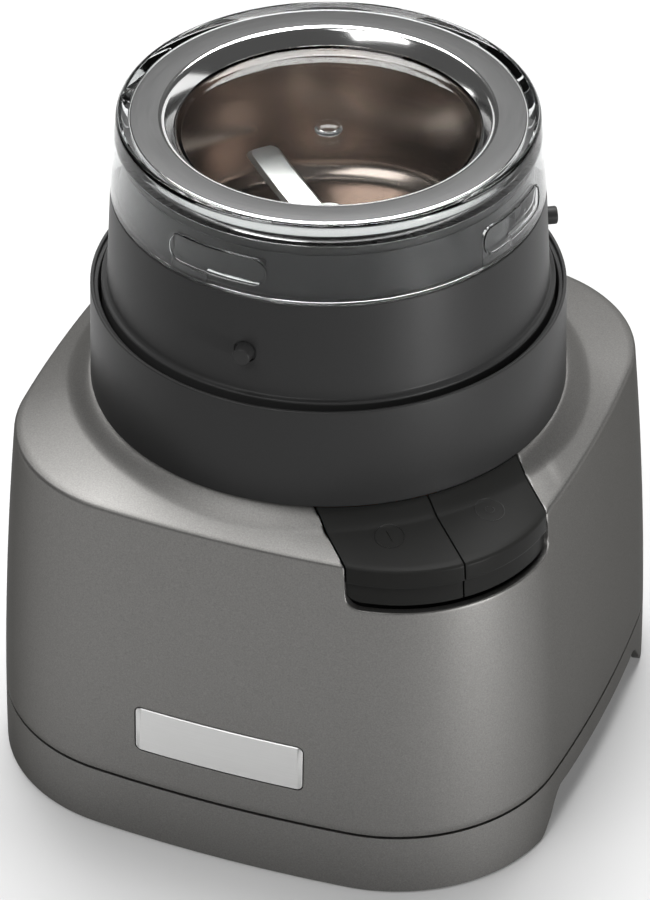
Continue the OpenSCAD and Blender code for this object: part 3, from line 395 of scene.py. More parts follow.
def pour(part, whole):
    """Adds one bmesh to another and frees it."""
    mesh = bpy.data.meshes.new("part")
    part.to_mesh(mesh)
    part.free()
    whole.from_mesh(mesh)
    bpy.data.meshes.remove(mesh)


def make(name, bm, degrees=38):
    """A shown piece from a finished bmesh."""
    bmesh.ops.recalc_face_normals(bm, faces=bm.faces)
    mesh = bpy.data.meshes.new(name)
    bm.to_mesh(mesh)
    bm.free()
    shade(mesh, degrees)
    piece = bpy.data.objects.new(name, mesh)
    bpy.context.scene.collection.objects.link(piece)
    return piece


def combine(piece, other, operation="DIFFERENCE", degrees=38):
    """Cuts or adds another mesh, which is used up."""
    step = piece.modifiers.new("combine", "BOOLEAN")
    step.operation = operation
    step.solver = "EXACT"
    step.object = other
    shaped = piece.evaluated_get(bpy.context.evaluated_depsgraph_get())
    mesh = bpy.data.meshes.new_from_object(shaped)
    piece.modifiers.clear()
    piece.data = mesh
    shade(mesh, degrees)
    bpy.data.objects.remove(other)
    if not mesh.polygons:
        raise RuntimeError("nothing is left of " + piece.name)
    return piece


def rounded(corners, steps=6):
    """Closed outline from corners (x, y, radius), each with its own rounding."""
    points = []
    count = len(corners)
    for i, (x, y, r) in enumerate(corners):
        p = Vector((x, y))
        if r <= 0:
            points.append(p)
            continue
        a = (Vector(corners[i - 1][:2]) - p).normalized()
        b = (Vector(corners[(i + 1) % count][:2]) - p).normalized()
        half = a.angle(b) / 2
        reach = r / math.tan(half)
        middle = p + (a + b).normalized() * (r / math.sin(half))
        first, last = p + a * reach - middle, p + b * reach - middle
        sweep = first.angle_signed(last)
        for k in range(steps + 1):
            points.append(middle + Matrix.Rotation(-sweep * k / steps, 2) @ first)
    return points


def rounded_box(half_w, low, high, r):
    """Outline of a rectangle about the middle of X, with round corners."""
    return rounded([(-half_w, low, r), (half_w, low, r), (half_w, high, r), (-half_w, high, r)])


def lathe_mesh(outline, segments=192):
    """Solid of revolution about Z from a closed outline of (radius, height)."""
    bm = bmesh.new()
    columns = []
    for k in range(segments):
        c, s = math.cos(2 * math.pi * k / segments), math.sin(2 * math.pi * k / segments)
        columns.append([bm.verts.new((max(r, 0) * c, max(r, 0) * s, z)) for r, z in outline])
    count = len(outline)
    for k in range(segments):
        a, b = columns[k], columns[(k + 1) % segments]
        for i in range(count):
            j = (i + 1) % count
            if outline[i][0] > 1e-7 or outline[j][0] > 1e-7:
                bm.faces.new((a[i], b[i], b[j], a[j]))
    bmesh.ops.remove_doubles(bm, verts=bm.verts, dist=1e-7)
    return bm


def lathe(name, corners, segments=192, steps=6, degrees=38):
    return make(name, lathe_mesh(rounded(corners, steps), segments), degrees)


def prism_mesh(outline, low, high):
    """Upright solid on a closed outline of (x, y)."""
    bm = bmesh.new()
    bottom = [bm.verts.new((x, y, low)) for x, y in outline]
    top = [bm.verts.new((x, y, high)) for x, y in outline]
    quads(bm, [top, bottom], closed=True)
    bm.faces.new(top)
    bm.faces.new(list(reversed(bottom)))
    return bm


def with_steps(outline, xs):
    """The outline with more points where its straight stretches pass given places along X."""
    spread = []
    for a, b in zip(outline, outline[1:] + outline[:1]):
        spread.append(a)
        inside = [x for x in xs if min(a.x, b.x) + MM / 10 < x < max(a.x, b.x) - MM / 10]
        spread += [Vector((x, a.y)) for x in sorted(inside, reverse=b.x < a.x)]
    return spread


def cap(bm, rings, across=lambda v: v.co.x, up=lambda v: v.co.y):
    """Closes rings of vertices with faces between their neighbouring columns."""
    for ring in rings:
        columns = {}
        for v in ring:
            columns.setdefault(round(across(v) / MM, 2), []).append(v)
        ladder = [sorted(columns[x], key=up) for x in sorted(columns)]
        for left, right in zip(ladder, ladder[1:]):
            bm.faces.new(left + list(reversed(right)))


def curved_block(turns, heights, radii, corner):
    """Block that bends round the Z axis between two directions, with round corners in its outer view."""
    middle_r = radii[1]
    half_w = (turns[1] - turns[0]) / 2 * middle_r
    low, high = heights
    shape = rounded_box(half_w, low, high, corner)
    spread = with_steps(shape, [half_w * (i / 8 - 1) for i in range(1, 16)])
    middle = (turns[0] + turns[1]) / 2
    bm = bmesh.new()
    rings = []
    for r in radii:
        angles = [p.x / middle_r for p in spread]
        rings.append([bm.verts.new((r * math.sin(a), -r * math.cos(a), p.y)) for a, p in zip(angles, spread)])
    quads(bm, rings, closed=True)
    cap(bm, rings, up=lambda v: v.co.z)
    bmesh.ops.rotate(bm, matrix=Matrix.Rotation(middle + math.pi / 2, 3, "Z"), verts=bm.verts)
    bmesh.ops.recalc_face_normals(bm, faces=bm.faces)
    return bm


def dress(piece, material, body, slot, *nodes):
    """Gives a piece its finish and its body, and hides the nodes that it stands for."""
    piece.data.materials.clear()
    piece.data.materials.append(material)
    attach(piece, body)
    if nodes:
        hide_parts(*nodes)
    return piece


# Materials


def per_mm(millimetres):
    """Texture scale at which one feature has that size."""
    return 1 / (millimetres * MM)


def add(tree, kind, inputs=None, **options):
    """Adds a node with its settings, values and links."""
    node = tree.nodes.new(kind)
    for name, value in options.items():
        setattr(node, name, value)
    for name, value in (inputs or {}).items():
        if isinstance(value, bpy.types.NodeSocket):
            tree.links.new(value, node.inputs[name])
        else:
            node.inputs[name].default_value = value
    return node


def start(name, values):
    """A new material with one Principled shader, whose even values are set on its own sockets."""
    material = bpy.data.materials.new(name)
    material.use_nodes = True
    tree = material.node_tree
    tree.nodes.clear()
    shader = add(tree, "ShaderNodeBsdfPrincipled", values)
    add(tree, "ShaderNodeOutputMaterial", {"Surface": shader.outputs["BSDF"]})
    place = add(tree, "ShaderNodeTexCoord").outputs["Object"]
    return material, tree, shader, place


def follow(tree, shader, pattern, colour, spread, bump, depth, roughness, swing):
    """Lets the colour, gloss and relief of a surface follow a pattern between 0 and 1."""
    dark, light = [tuple(min(1, c * k) for c in colour) + (1,) for k in (1 - spread, 1 + spread)]
    mixed = add(tree, "ShaderNodeMix", {"Factor": pattern, "A": dark, "B": light}, data_type="RGBA")
    gloss = add(tree, "ShaderNodeMapRange", {
        "Value": pattern, "To Min": roughness - swing, "To Max": roughness + swing})
    tree.links.new(mixed.outputs["Result"], shader.inputs["Base Color"])
    tree.links.new(gloss.outputs["Result"], shader.inputs["Roughness"])
    if bump:
        relief = add(tree, "ShaderNodeBump", {"Height": pattern, "Strength": bump, "Distance": depth})
        tree.links.new(relief.outputs["Normal"], shader.inputs["Normal"])


def grained(name, values, colour, size, spread, bump, roughness, swing):
    """Material that follows one fine noise: size is that of a grain in millimetres."""
    material, tree, shader, place = start(name, values)
    noise = add(tree, "ShaderNodeTexNoise", {
        "Vector": place, "Scale": per_mm(size), "Detail": 3.0, "Roughness": 0.6})
    depth = size * MM * GRAIN_DEPTH
    follow(tree, shader, noise.outputs["Fac"], colour, spread, bump, depth, roughness, swing)
    return material


@functools.cache
def sprayed_paint():
    # Metallic paint sprayed on moulded ABS: a satin grey with tiny bright flakes that lie flat, so that it
    # dims where it turns away. Real flakes are about 0.05 mm, and are drawn at 0.4 mm so that they show.
    values = {"Metallic": 0.92, "Specular IOR Level": 0.0, "Specular Tint": (0.18, 0.18, 0.18, 1)}
    return grained("metallic_paint_sprayed", values, settings("finish_colours").paint,
                   size=0.4, spread=0.4, bump=0, roughness=0.46, swing=0.03)


@functools.cache
def moulded_abs():
    # Black ABS from a spark-eroded mould: satin, with a faint even stipple of about 0.35 mm.
    return grained("abs_black_moulded", {"Specular IOR Level": 0.2}, settings("finish_colours").casing,
                   size=0.35, spread=0.10, bump=0.10, roughness=0.42, swing=0.05)


@functools.cache
def key_abs():
    # Black ABS of the keys: a little darker and finer than the casing, rubbed smooth by fingers.
    return grained("abs_keys_moulded", {"Specular IOR Level": 0.06}, settings("finish_colours").keys,
                   size=0.3, spread=0.10, bump=0.08, roughness=0.40, swing=0.05)


@functools.cache
def mark_abs_painted_shade():
    # The same ABS, a little glossier where the mould is polished, with a faint glint; its darker colour is
    # painted shade for the keys' thin moulded lines.
    return grained("abs_keys_polished_painted_shade", {"Specular IOR Level": 0.2}, linear("#161615"),
                   size=0.3, spread=0.05, bump=0.03, roughness=0.35, swing=0.03)


@functools.cache
def clear_san():
    # Clear SAN plastic, polished mould: sharp highlights, and a slow ripple where the melt flowed.
    tint = tuple(settings("finish_colours").clear) + (1,)
    material, tree, shader, place = start("san_clear_moulded", {
        "Base Color": tint, "Transmission Weight": 1.0, "IOR": 1.5, "Roughness": 0.015,
        "Specular Tint": (0.4, 0.4, 0.4, 1)})
    flow = add(tree, "ShaderNodeTexNoise", {"Vector": place, "Scale": per_mm(14), "Detail": 1.0})
    ripple = add(tree, "ShaderNodeBump", {
        "Height": flow.outputs["Fac"], "Strength": 0.05, "Distance": 0.5 * MM})
    tree.links.new(ripple.outputs["Normal"], shader.inputs["Normal"])
    return material


def turned_lines(tree, place, pitch, stroke):
    """Noise in fine lines round the Z axis: pitch is their width, stroke how long one runs."""
    xyz = add(tree, "ShaderNodeSeparateXYZ", {"Vector": place})
    flat = add(tree, "ShaderNodeCombineXYZ", {"X": xyz.outputs["X"], "Y": xyz.outputs["Y"]})
    radius = add(tree, "ShaderNodeVectorMath", {0: flat.outputs["Vector"]}, operation="LENGTH")
    across = add(tree, "ShaderNodeMath", {0: radius.outputs["Value"], 1: xyz.outputs["Z"]}, operation="ADD")
    fine = add(tree, "ShaderNodeMath", {0: across.outputs["Value"], 1: per_mm(pitch)}, operation="MULTIPLY")
    slow = add(tree, "ShaderNodeVectorMath", {
        0: flat.outputs["Vector"], "Scale": per_mm(stroke)}, operation="SCALE")
    ends = add(tree, "ShaderNodeSeparateXYZ", {"Vector": slow.outputs["Vector"]})
    mixed = add(tree, "ShaderNodeCombineXYZ", {
        "X": ends.outputs["X"], "Y": ends.outputs["Y"], "Z": fine.outputs["Value"]})
    return add(tree, "ShaderNodeTexNoise", {"Vector": mixed.outputs["Vector"], "Scale": 1.0, "Detail": 2.0})


def straight_lines(tree, place, pitch, stroke):
    """Noise in fine lines along X: pitch is their width, stroke how long one runs."""
    scaled = add(tree, "ShaderNodeMapping", {
        "Vector": place, "Scale": (per_mm(stroke), per_mm(stroke), per_mm(pitch))})
    return add(tree, "ShaderNodeTexNoise", {"Vector": scaled.outputs["Vector"], "Scale": 1.0, "Detail": 3.0})


def lined(name, colour, lines, pitch, stroke, spread, bump, roughness, swing):
    """Metal that follows fine lines: their width and length are in millimetres."""
    material, tree, shader, place = start(name, {"Metallic": 1.0})
    pattern = lines(tree, place, pitch, stroke).outputs["Fac"]
    follow(tree, shader, pattern, colour, spread, bump, LINE_DEPTH, roughness, swing)
    return material


@functools.cache
def brushed_trim():
    # Stainless steel brushed round the axis: dull grey with hair lines, drawn 0.25 mm wide so that they show.
    return lined("stainless_brushed_round", settings("finish_colours").trim, turned_lines,
                 pitch=0.25, stroke=9, spread=0.14, bump=0.25, roughness=0.42, swing=0.08)


@functools.cache
def polished_steel():
    # Stainless steel, polished: the bright turned edges of the trim ring.
    return lined("stainless_polished", linear("#EDEDEC"), turned_lines,
                 pitch=0.5, stroke=20, spread=0.03, bump=0.02, roughness=0.12, swing=0.02)


@functools.cache
def spun_bowl_painted_reflection():
    # Stainless steel, deep drawn and spun: a dark mirror with soft rings about 0.6 mm apart; its warm brown
    # tint is a painted reflection of ground spice in the bowl, which is not modelled.
    return lined("stainless_spun_warm_reflection", settings("finish_colours").steel, turned_lines,
                 pitch=0.6, stroke=30, spread=0.06, bump=0.12, roughness=0.22, swing=0.04)


@functools.cache
def brushed_badge():
    # Aluminium plate brushed along its length and lacquered: pale, with hair lines drawn 0.22 mm wide.
    return lined("aluminium_brushed_long", settings("finish_colours").badge, straight_lines,
                 pitch=0.22, stroke=14, spread=0.06, bump=0.2, roughness=0.40, swing=0.06)


@functools.cache
def ground_blade():
    # Stainless steel blade, stamped and ground: bright, with faint grinding lines.
    return lined("stainless_ground", linear("#E4E3E0"), straight_lines,
                 pitch=0.3, stroke=10, spread=0.05, bump=0.15, roughness=0.4, swing=0.05)


# Finishes of the pieces that show only when the part is opened or lifted:
# material, colour, metallic, roughness and grain in millimetres
PLAIN_FINISHES = {
    "screw_steel": ("steel_zinc_plated", "#B9BBBD", 1.0, 0.34, 0.4),
    "rubber": ("nitrile_rubber_moulded", "#1C1C1C", 0.0, 0.75, 0.3),
    "silicone": ("silicone_moulded", "#2C2C2B", 0.0, 0.5, 0.6),
    "laminations": ("silicon_steel_stamped", "#6E7174", 1.0, 0.5, 0.5),
    "copper": ("copper_wire_enamelled", "#A35A24", 1.0, 0.35, 0.6),
    "brass": ("brass_turned", "#B99A50", 1.0, 0.3, 0.5),
    "die_cast": ("aluminium_die_cast", "#9C9EA2", 1.0, 0.5, 0.6),
    "carbon": ("carbon_pressed", "#262626", 0.0, 0.6, 0.25),
    "board": ("glass_epoxy_laminate", "#2E6B3A", 0.0, 0.45, 0.5),
    "nylon": ("nylon_moulded", "#DEDBD2", 0.0, 0.45, 0.4),
    "red_plastic": ("acetal_red_moulded", "#A83232", 0.0, 0.4, 0.4),
}


@functools.cache
def plain_finish(slot):
    name, code, metallic, roughness, size = PLAIN_FINISHES[slot]
    return grained(name, {"Metallic": metallic}, linear(code), size, 0.12, 0.12, roughness, 0.06)


FINISHES = {
    "silver_paint": sprayed_paint,
    "black_plastic": moulded_abs,
    "key_plastic": key_abs,
    "clear_plastic": clear_san,
    "brushed_trim": brushed_trim,
    "badge_aluminium": brushed_badge,
    "stainless": ground_blade,
}


def finish_of(slot):
    return FINISHES[slot]() if slot in FINISHES else plain_finish(slot)


# Base


def shell_skin(bm, plan, keys):
    """Skin of the upper shell, with a rounded notch let into the corner of the keys."""
    s = plan.s
    half, low, corner = keys.half + keys.gap, s.shoulder_z - keys.notch_h, keys.notch_corner
    frame_w = 3.5 * MM
    steps = 5
    outer = half + frame_w
    inner = half - corner
    beside = [outer + d * MM for d in (4.5, 2.6, 1.1)]
    beside += [outer + (inner - outer) * i / steps for i in range(steps)]
    middle = [-inner + 2 * inner * i / 28 for i in range(29)]
    across = [-x for x in beside] + middle + beside[::-1]
    columns = [("across", x) for x in across]
    clear = plan.key_turn(plan.half_floor, outer + 6.5 * MM)
    columns += turn_columns(clear, 2 * math.pi + 2 * KEY_CORNER - clear, plan)
    first, last = across.index(-outer), across.index(outer)

    rows = top_rows(plan, s.collar_r - 3 * MM, s.shoulder_edge)
    upper = s.shoulder_z - s.shoulder_edge
    turn_z = low + corner
    heights = [upper + (turn_z - upper) * i / 4 for i in range(1, 5)]
    bottom_z = low - frame_w
    heights += [turn_z + (bottom_z - turn_z) * i / steps for i in range(1, steps + 1)]
    above = len(rows)
    turn_row = above + 3
    heights += [bottom_z + (s.split_z - bottom_z) * i / 30 for i in range(1, 31)]
    rows += [wall_row(plan, z) for z in heights]
    end_row = turn_row + steps

    # Even skin, left open where the notch and the strip round it lie
    grid = [[None] * len(columns) for _ in rows]
    for i, row in enumerate(rows):
        for j, column in enumerate(columns):
            if i >= end_row or not first < j < last:
                grid[i][j] = bm.verts.new(row(column))
    for i in range(len(rows) - 1):
        for j in range(len(columns)):
            k = (j + 1) % len(columns)
            corners = (grid[i][j], grid[i + 1][j], grid[i + 1][k], grid[i][k])
            if None not in corners and (i >= end_row or not first <= j < last):
                bm.faces.new(corners)

    # Strip from that opening's straight edges in to the rounded notch
    def side(sign):
        """Pairs of a vertex on the straight edge and its place on the strip, from the collar down."""
        j = last if sign > 0 else first
        for i in range(end_row + 1):
            if i <= turn_row:
                row = rows[i]
                yield grid[i][j], lambda f, row=row: row(("across", sign * (outer - frame_w * f)))
            else:
                a = math.pi / 4 * (i - turn_row) / steps
                yield grid[i][j], wall_place(sign * outer, heights[i - above], sign, a)

    def wall_place(x, z, sign, a):
        end = (sign * (inner + corner * math.cos(a)), turn_z - corner * math.sin(a))
        return lambda f: wall_row(plan, z + (end[1] - z) * f)(("across", x + (end[0] - x) * f))

    def below():
        for j in range(first + 1, last):
            x = across[j]
            if abs(x) <= inner + 1e-9:
                yield grid[end_row][j], lambda f, x=x: wall_row(plan, bottom_z + frame_w * f)(("across", x))
            else:
                k = (outer - abs(x)) / (outer - inner)
                sign = math.copysign(1, x)
                yield grid[end_row][j], wall_place(x, bottom_z, sign, math.pi / 4 * (1 + k))

    line = list(side(-1)) + list(below()) + list(reversed(list(side(1))))
    lines = [[vertex for vertex, _ in line]]
    for share in (0.4, 0.72, 1.0):
        lines.append([bm.verts.new(place(share)) for _, place in line])
    quads(bm, lines)


class MILL_OT_upper_shell(bpy.types.Operator):
    """Painted upper shell of the base, with the notch for the keys and room for the badge and the cord"""

    bl_idname = "mill.upper_shell"
    bl_label = "Upper shell"

    def execute(self, context):
        plan = BasePlan()
        s = plan.s
        keys = settings("key_sizes")
        bm = bmesh.new()
        shell_skin(bm, plan, keys)
        bmesh.ops.recalc_face_normals(bm, faces=bm.faces)
        rim = thicken(bm, s.wall)
        split = [e for e in rim if all(v.co.z < s.split_z + 0.1 * MM for v in e.verts)]
        hidden = s.collar_r - 2.5 * MM
        notch = [e for e in rim if e not in set(split) and any(v.co.xy.length > hidden for v in e.verts)]
        soften(bm, notch, keys.notch_edge)
        soften(bm, [e for e in split if e.is_valid], s.split_edge, 2)
        shell = make("upper_shell", bm)
        combine(shell, make("badge_room", badge_mesh(plan, 0.35 * MM, -0.9 * MM, 1.5 * MM)))
        low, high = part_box("cord_inlet")
        inlet_r, front, back = 6.3 * MM, -1 * MM, 14 * MM
        room = lathe_mesh([(0, front), (inlet_r, front), (inlet_r, back), (0, back)], 64)
        bmesh.ops.rotate(room, matrix=Matrix.Rotation(-math.pi / 2, 3, "X"), verts=room.verts)
        bmesh.ops.translate(room, vec=((low.x + high.x) / 2, low.y, (low.z + high.z) / 2), verts=room.verts)
        combine(shell, make("inlet_room", room))
        dress(shell, sprayed_paint(), "base", "silver_paint", "upper_housing")
        return {"FINISHED"}


def badge_mesh(plan, grow, inner, outer, edge=0):
    """Plate that follows the front wall, between two depths from its face."""
    s = plan.s
    half_w, half_h, r = s.plate_w / 2 + grow, s.plate_h / 2 + grow, s.plate_corner + grow
    xs = [half_w * (2 * i / 36 - 1) for i in range(37)]
    spread = with_steps(rounded_box(half_w, -half_h, half_h, r), xs)

    def on_wall(x, z, depth):
        half = plan.half_at(z)
        side_r = plan.reach + half - plan.corner + depth
        lie = math.asin(x / side_r)
        return Vector((x, -(half + s.side_bow + depth - side_r + side_r * math.cos(lie)), z))

    bm = bmesh.new()
    rings = []
    for inset, depth in ((0, inner), (0, outer - edge), (edge, outer)) if edge else ((0, inner), (0, outer)):
        wide, tall = (half_w - inset) / half_w, (half_h - inset) / half_h
        rings.append([bm.verts.new(on_wall(p.x * wide, s.plate_z + p.y * tall, depth)) for p in spread])
    quads(bm, rings, closed=True)
    cap(bm, (rings[0], rings[-1]), up=lambda v: v.co.z)
    bmesh.ops.recalc_face_normals(bm, faces=bm.faces)
    return bm


class MILL_OT_badge(bpy.types.Operator):
    """Bare badge plate, brushed along its length and let into the front wall"""

    bl_idname = "mill.badge"
    bl_label = "Badge plate"

    def execute(self, context):
        plate = make("badge_plate", badge_mesh(BasePlan(), 0, -0.85 * MM, 0.2 * MM, 0.2 * MM))
        dress(plate, brushed_badge(), "base", "badge_aluminium", "nameplate")
        return {"FINISHED"}


def arch_height(s, y):
    """Height of the apron's lower edge on the two sides with an arch."""
    share = (s.arch_half - abs(y)) / s.arch_run
    if share <= 0:
        return s.apron_lift
    share = min(1, share)
    return max(s.apron_lift, s.arch_h * share * share * (3 - 2 * share))


class MILL_OT_tray(bpy.types.Operator):
    """Painted tray under the split: apron with its two arches, lip, and floor with air slots"""

    bl_idname = "mill.tray"
    bl_label = "Base tray"

    def execute(self, context):
        plan = BasePlan()
        s = plan.s
        top = s.split_z - s.split_gap
        whole = (-1e-9, 2 * math.pi - 1e-9)
        columns = turn_columns(*whole, plan, 40, 60)
        bm = bmesh.new()
        rows = []
        for i in range(13):
            row = []
            for column in columns:
                p = plan.at(plan.half_at(top), column)
                low = arch_height(s, p.y) if abs(p.x) > abs(p.y) else s.apron_lift
                z = top + (low - top) * i / 12
                row.append(bm.verts.new(wall_row(plan, z)(column)))
            rows.append(row)
        quads(bm, rows, closed=True)
        bmesh.ops.recalc_face_normals(bm, faces=bm.faces)
        rim = thicken(bm, s.wall)
        soften(bm, rim, s.split_edge, 2)
        apron = make("tray_apron", bm)
        dress(apron, sprayed_paint(), "base", "silver_paint", "base_tray")

        inside = plan.half_at(s.split_z) - s.wall - 0.6 * MM
        columns = turn_columns(*whole, plan, 10, 20)
        outline = [plan.at(inside, c) for c in columns]
        inner = [plan.at(inside - 1.5 * MM, c) for c in columns]
        floor = make("tray_floor", prism_mesh(outline, s.floor_z, s.split_z + 4 * MM))
        combine(floor, make("tray_room", prism_mesh(inner, s.floor_z + 3 * MM, s.split_z + 9 * MM)))
        slots = bmesh.new()
        shape = rounded_box(1.5 * MM, -14 * MM, 14 * MM, 1.4 * MM)
        for i in range(-2, 3):
            for side in (-1, 1):
                spot = Vector((12 * MM * i, 34 * MM * side))
                pour(prism_mesh([p + spot for p in shape], s.floor_z - MM, s.floor_z + 5 * MM), slots)
        combine(floor, make("air_slots", slots))
        dress(floor, sprayed_paint(), "base", "silver_paint")
        return {"FINISHED"}


class MILL_OT_feet(bpy.types.Operator):
    """Four moulded rubber feet on their bosses"""

    bl_idname = "mill.feet"
    bl_label = "Feet"

    def execute(self, context):
        s = settings("base_sizes")
        _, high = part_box("rubber_feet")
        spot = high.x - s.foot_r
        boss_z = s.floor_z + 0.2 * MM
        pad = rounded([
            (0, 0.5 * MM, 0), (5 * MM, 0.5 * MM, 0.2 * MM), (5.6 * MM, 0, 0.2 * MM),
            (s.foot_r, 0, 1 * MM), (s.foot_r, s.foot_h, 0.4 * MM), (0, s.foot_h, 0)])
        boss = rounded([
            (0, s.foot_h, 0), (s.foot_r, s.foot_h, 0.4 * MM),
            (s.foot_r + 0.4 * MM, boss_z, 0), (0, boss_z, 0)])
        pads = bmesh.new()
        bosses = bmesh.new()
        for x in (-spot, spot):
            for y in (-spot, spot):
                for outline, whole in ((pad, pads), (boss, bosses)):
                    part = lathe_mesh(outline, 64)
                    bmesh.ops.translate(part, vec=(x, y, 0), verts=part.verts)
                    pour(part, whole)
        dress(make("rubber_pads", pads), plain_finish("rubber"), "base", "rubber", "rubber_feet")
        dress(make("foot_bosses", bosses), sprayed_paint(), "base", "silver_paint")
        return {"FINISHED"}


# Keys


class MILL_OT_keys(bpy.types.Operator):
    """Two black keys that carry on the shell's faces across its corner, each with a moulded mark"""

    bl_idname = "mill.keys"
    bl_label = "Keys"

    def execute(self, context):
        plan = BasePlan()
        keys = settings("key_sizes")
        for sign, name, body in ((-1, "on", "on_key"), (1, "pulse", "pulse_key")):
            key = self.skin(plan, keys, sign, name + "_key_cap")
            self.mark(keys, key, sign, name, body)
            dress(key, key_abs(), body, "key_plastic", name + "_button")
        return {"FINISHED"}

    def skin(self, plan, keys, sign, name):
        """A key's skin, its lower outer corner round like the notch's, thickened inwards."""
        near, far, r = keys.gap / 2, keys.half, keys.notch_corner
        places = [near + (far - r - near) * i / 20 for i in range(21)]
        places += [far - r + r * math.sin(math.radians(9 * i)) for i in range(1, 11)]
        rows = top_rows(plan, plan.s.collar_r + keys.collar_gap, keys.front_edge)
        top = plan.s.shoulder_z - keys.front_edge
        seam = plan.s.shoulder_z - keys.seam_h
        low = plan.s.shoulder_z - keys.face_h

        def place_on_wall(across, z, depth=0):
            return ring_row(plan, plan.half_at(z) - depth, z)(("across", sign * across))

        bm = bmesh.new()
        grid = [[bm.verts.new(row(("across", sign * across))) for across in places] for row in rows]
        for rise, depth in ((0.6, 0), (0.3, 0), (0.09, 0.09), (0, 0.3), (0, 0.8), (0, 1)):
            z = seam + rise * MM
            grid.append([bm.verts.new(place_on_wall(across, z, depth * keys.step)) for across in places])
        for i in range(1, 7):
            line = []
            for across in places:
                beyond = max(0, across - far + r)
                end = low + r - math.sqrt(max(0, r * r - beyond * beyond))
                line.append(bm.verts.new(place_on_wall(across, seam + (end - seam) * i / 6, keys.step)))
            grid.append(line)
        quads(bm, grid)
        bmesh.ops.recalc_face_normals(bm, faces=bm.faces)
        rim = thicken(bm, keys.wall)
        inner = plan.s.collar_r + 1 * MM
        soften(bm, [e for e in rim if any(v.co.xy.length > inner for v in e.verts)], keys.edge)
        return make(name, bm)

    def mark(self, keys, key, sign, name, body):
        """Thin moulded ring on a key, round a bar on the first key and round a small ring on the second."""

        def circle(r):
            turns = [2 * math.pi * i / 64 for i in range(65)]
            return [Vector((r * math.cos(a), r * math.sin(a), 0)) for a in turns]

        bar = [Vector((keys.mark_r * 0.5 * (i / 8 - 1), 0, 0)) for i in range(17)]
        bm = bmesh.new()
        turn = Matrix.Rotation(KEY_CORNER, 3, "Z")
        middle = Vector((keys.mark_x, sign * keys.mark_y, 0.2))
        for line in (circle(keys.mark_r), bar if sign < 0 else circle(keys.mark_r * 0.3)):
            rings = []
            for p, after in zip(line, line[1:] + [2 * line[-1] - line[-2]]):
                hit, where, normal, _ = key.ray_cast(turn @ (middle + p), Vector((0, 0, -1)))
                if not hit:
                    raise RuntimeError("the mark misses " + key.name)
                side = (turn @ (after - p)).cross(normal).normalized()
                section = [math.cos(a) * side + 0.6 * math.sin(a) * normal
                           for a in (math.pi * k / 3 for k in range(6))]
                rings.append([bm.verts.new(where + keys.mark_t * out) for out in section])
            quads(bm, rings, closed=True)
            for end in (rings[0], rings[-1]):
                bm.faces.new(end)
        bmesh.ops.remove_doubles(bm, verts=bm.verts, dist=1e-6)
        # The mark's darker colour is painted shade for its thin moulded lines.
        dress(make(name + "_key_mark", bm), mark_abs_painted_shade(), body, "key_plastic")


# Collar and mill


class MILL_OT_collar(bpy.types.Operator):
    """Black socket ring that stands on the base and takes the mill"""

    bl_idname = "mill.collar"
    bl_label = "Collar"

    def execute(self, context):
        s = settings("mill_sizes")
        base = settings("base_sizes")
        hub = 11 * MM
        ring = lathe("collar_ring", [
            (hub, s.deck_z, 0), (base.collar_r, s.deck_z, 0.1 * MM), (s.rim_r, s.rim_z, 0.45 * MM),
            (s.rim_r - s.lip_w, s.rim_z, 0.3 * MM), (s.rim_r - s.lip_w, s.rim_z - s.lip_h, 0.2 * MM),
            (s.socket_r, s.rim_z - s.lip_h, 0.3 * MM), (s.socket_r, s.socket_z, 1 * MM),
            (hub + 3 * MM, s.socket_z, 0.5 * MM), (hub + 3 * MM, s.socket_z + 3 * MM, 0.4 * MM),
            (hub, s.socket_z + 3 * MM, 0.4 * MM)], 256)
        dress(ring, moulded_abs(), "base", "black_plastic", "collar")
        return {"FINISHED"}


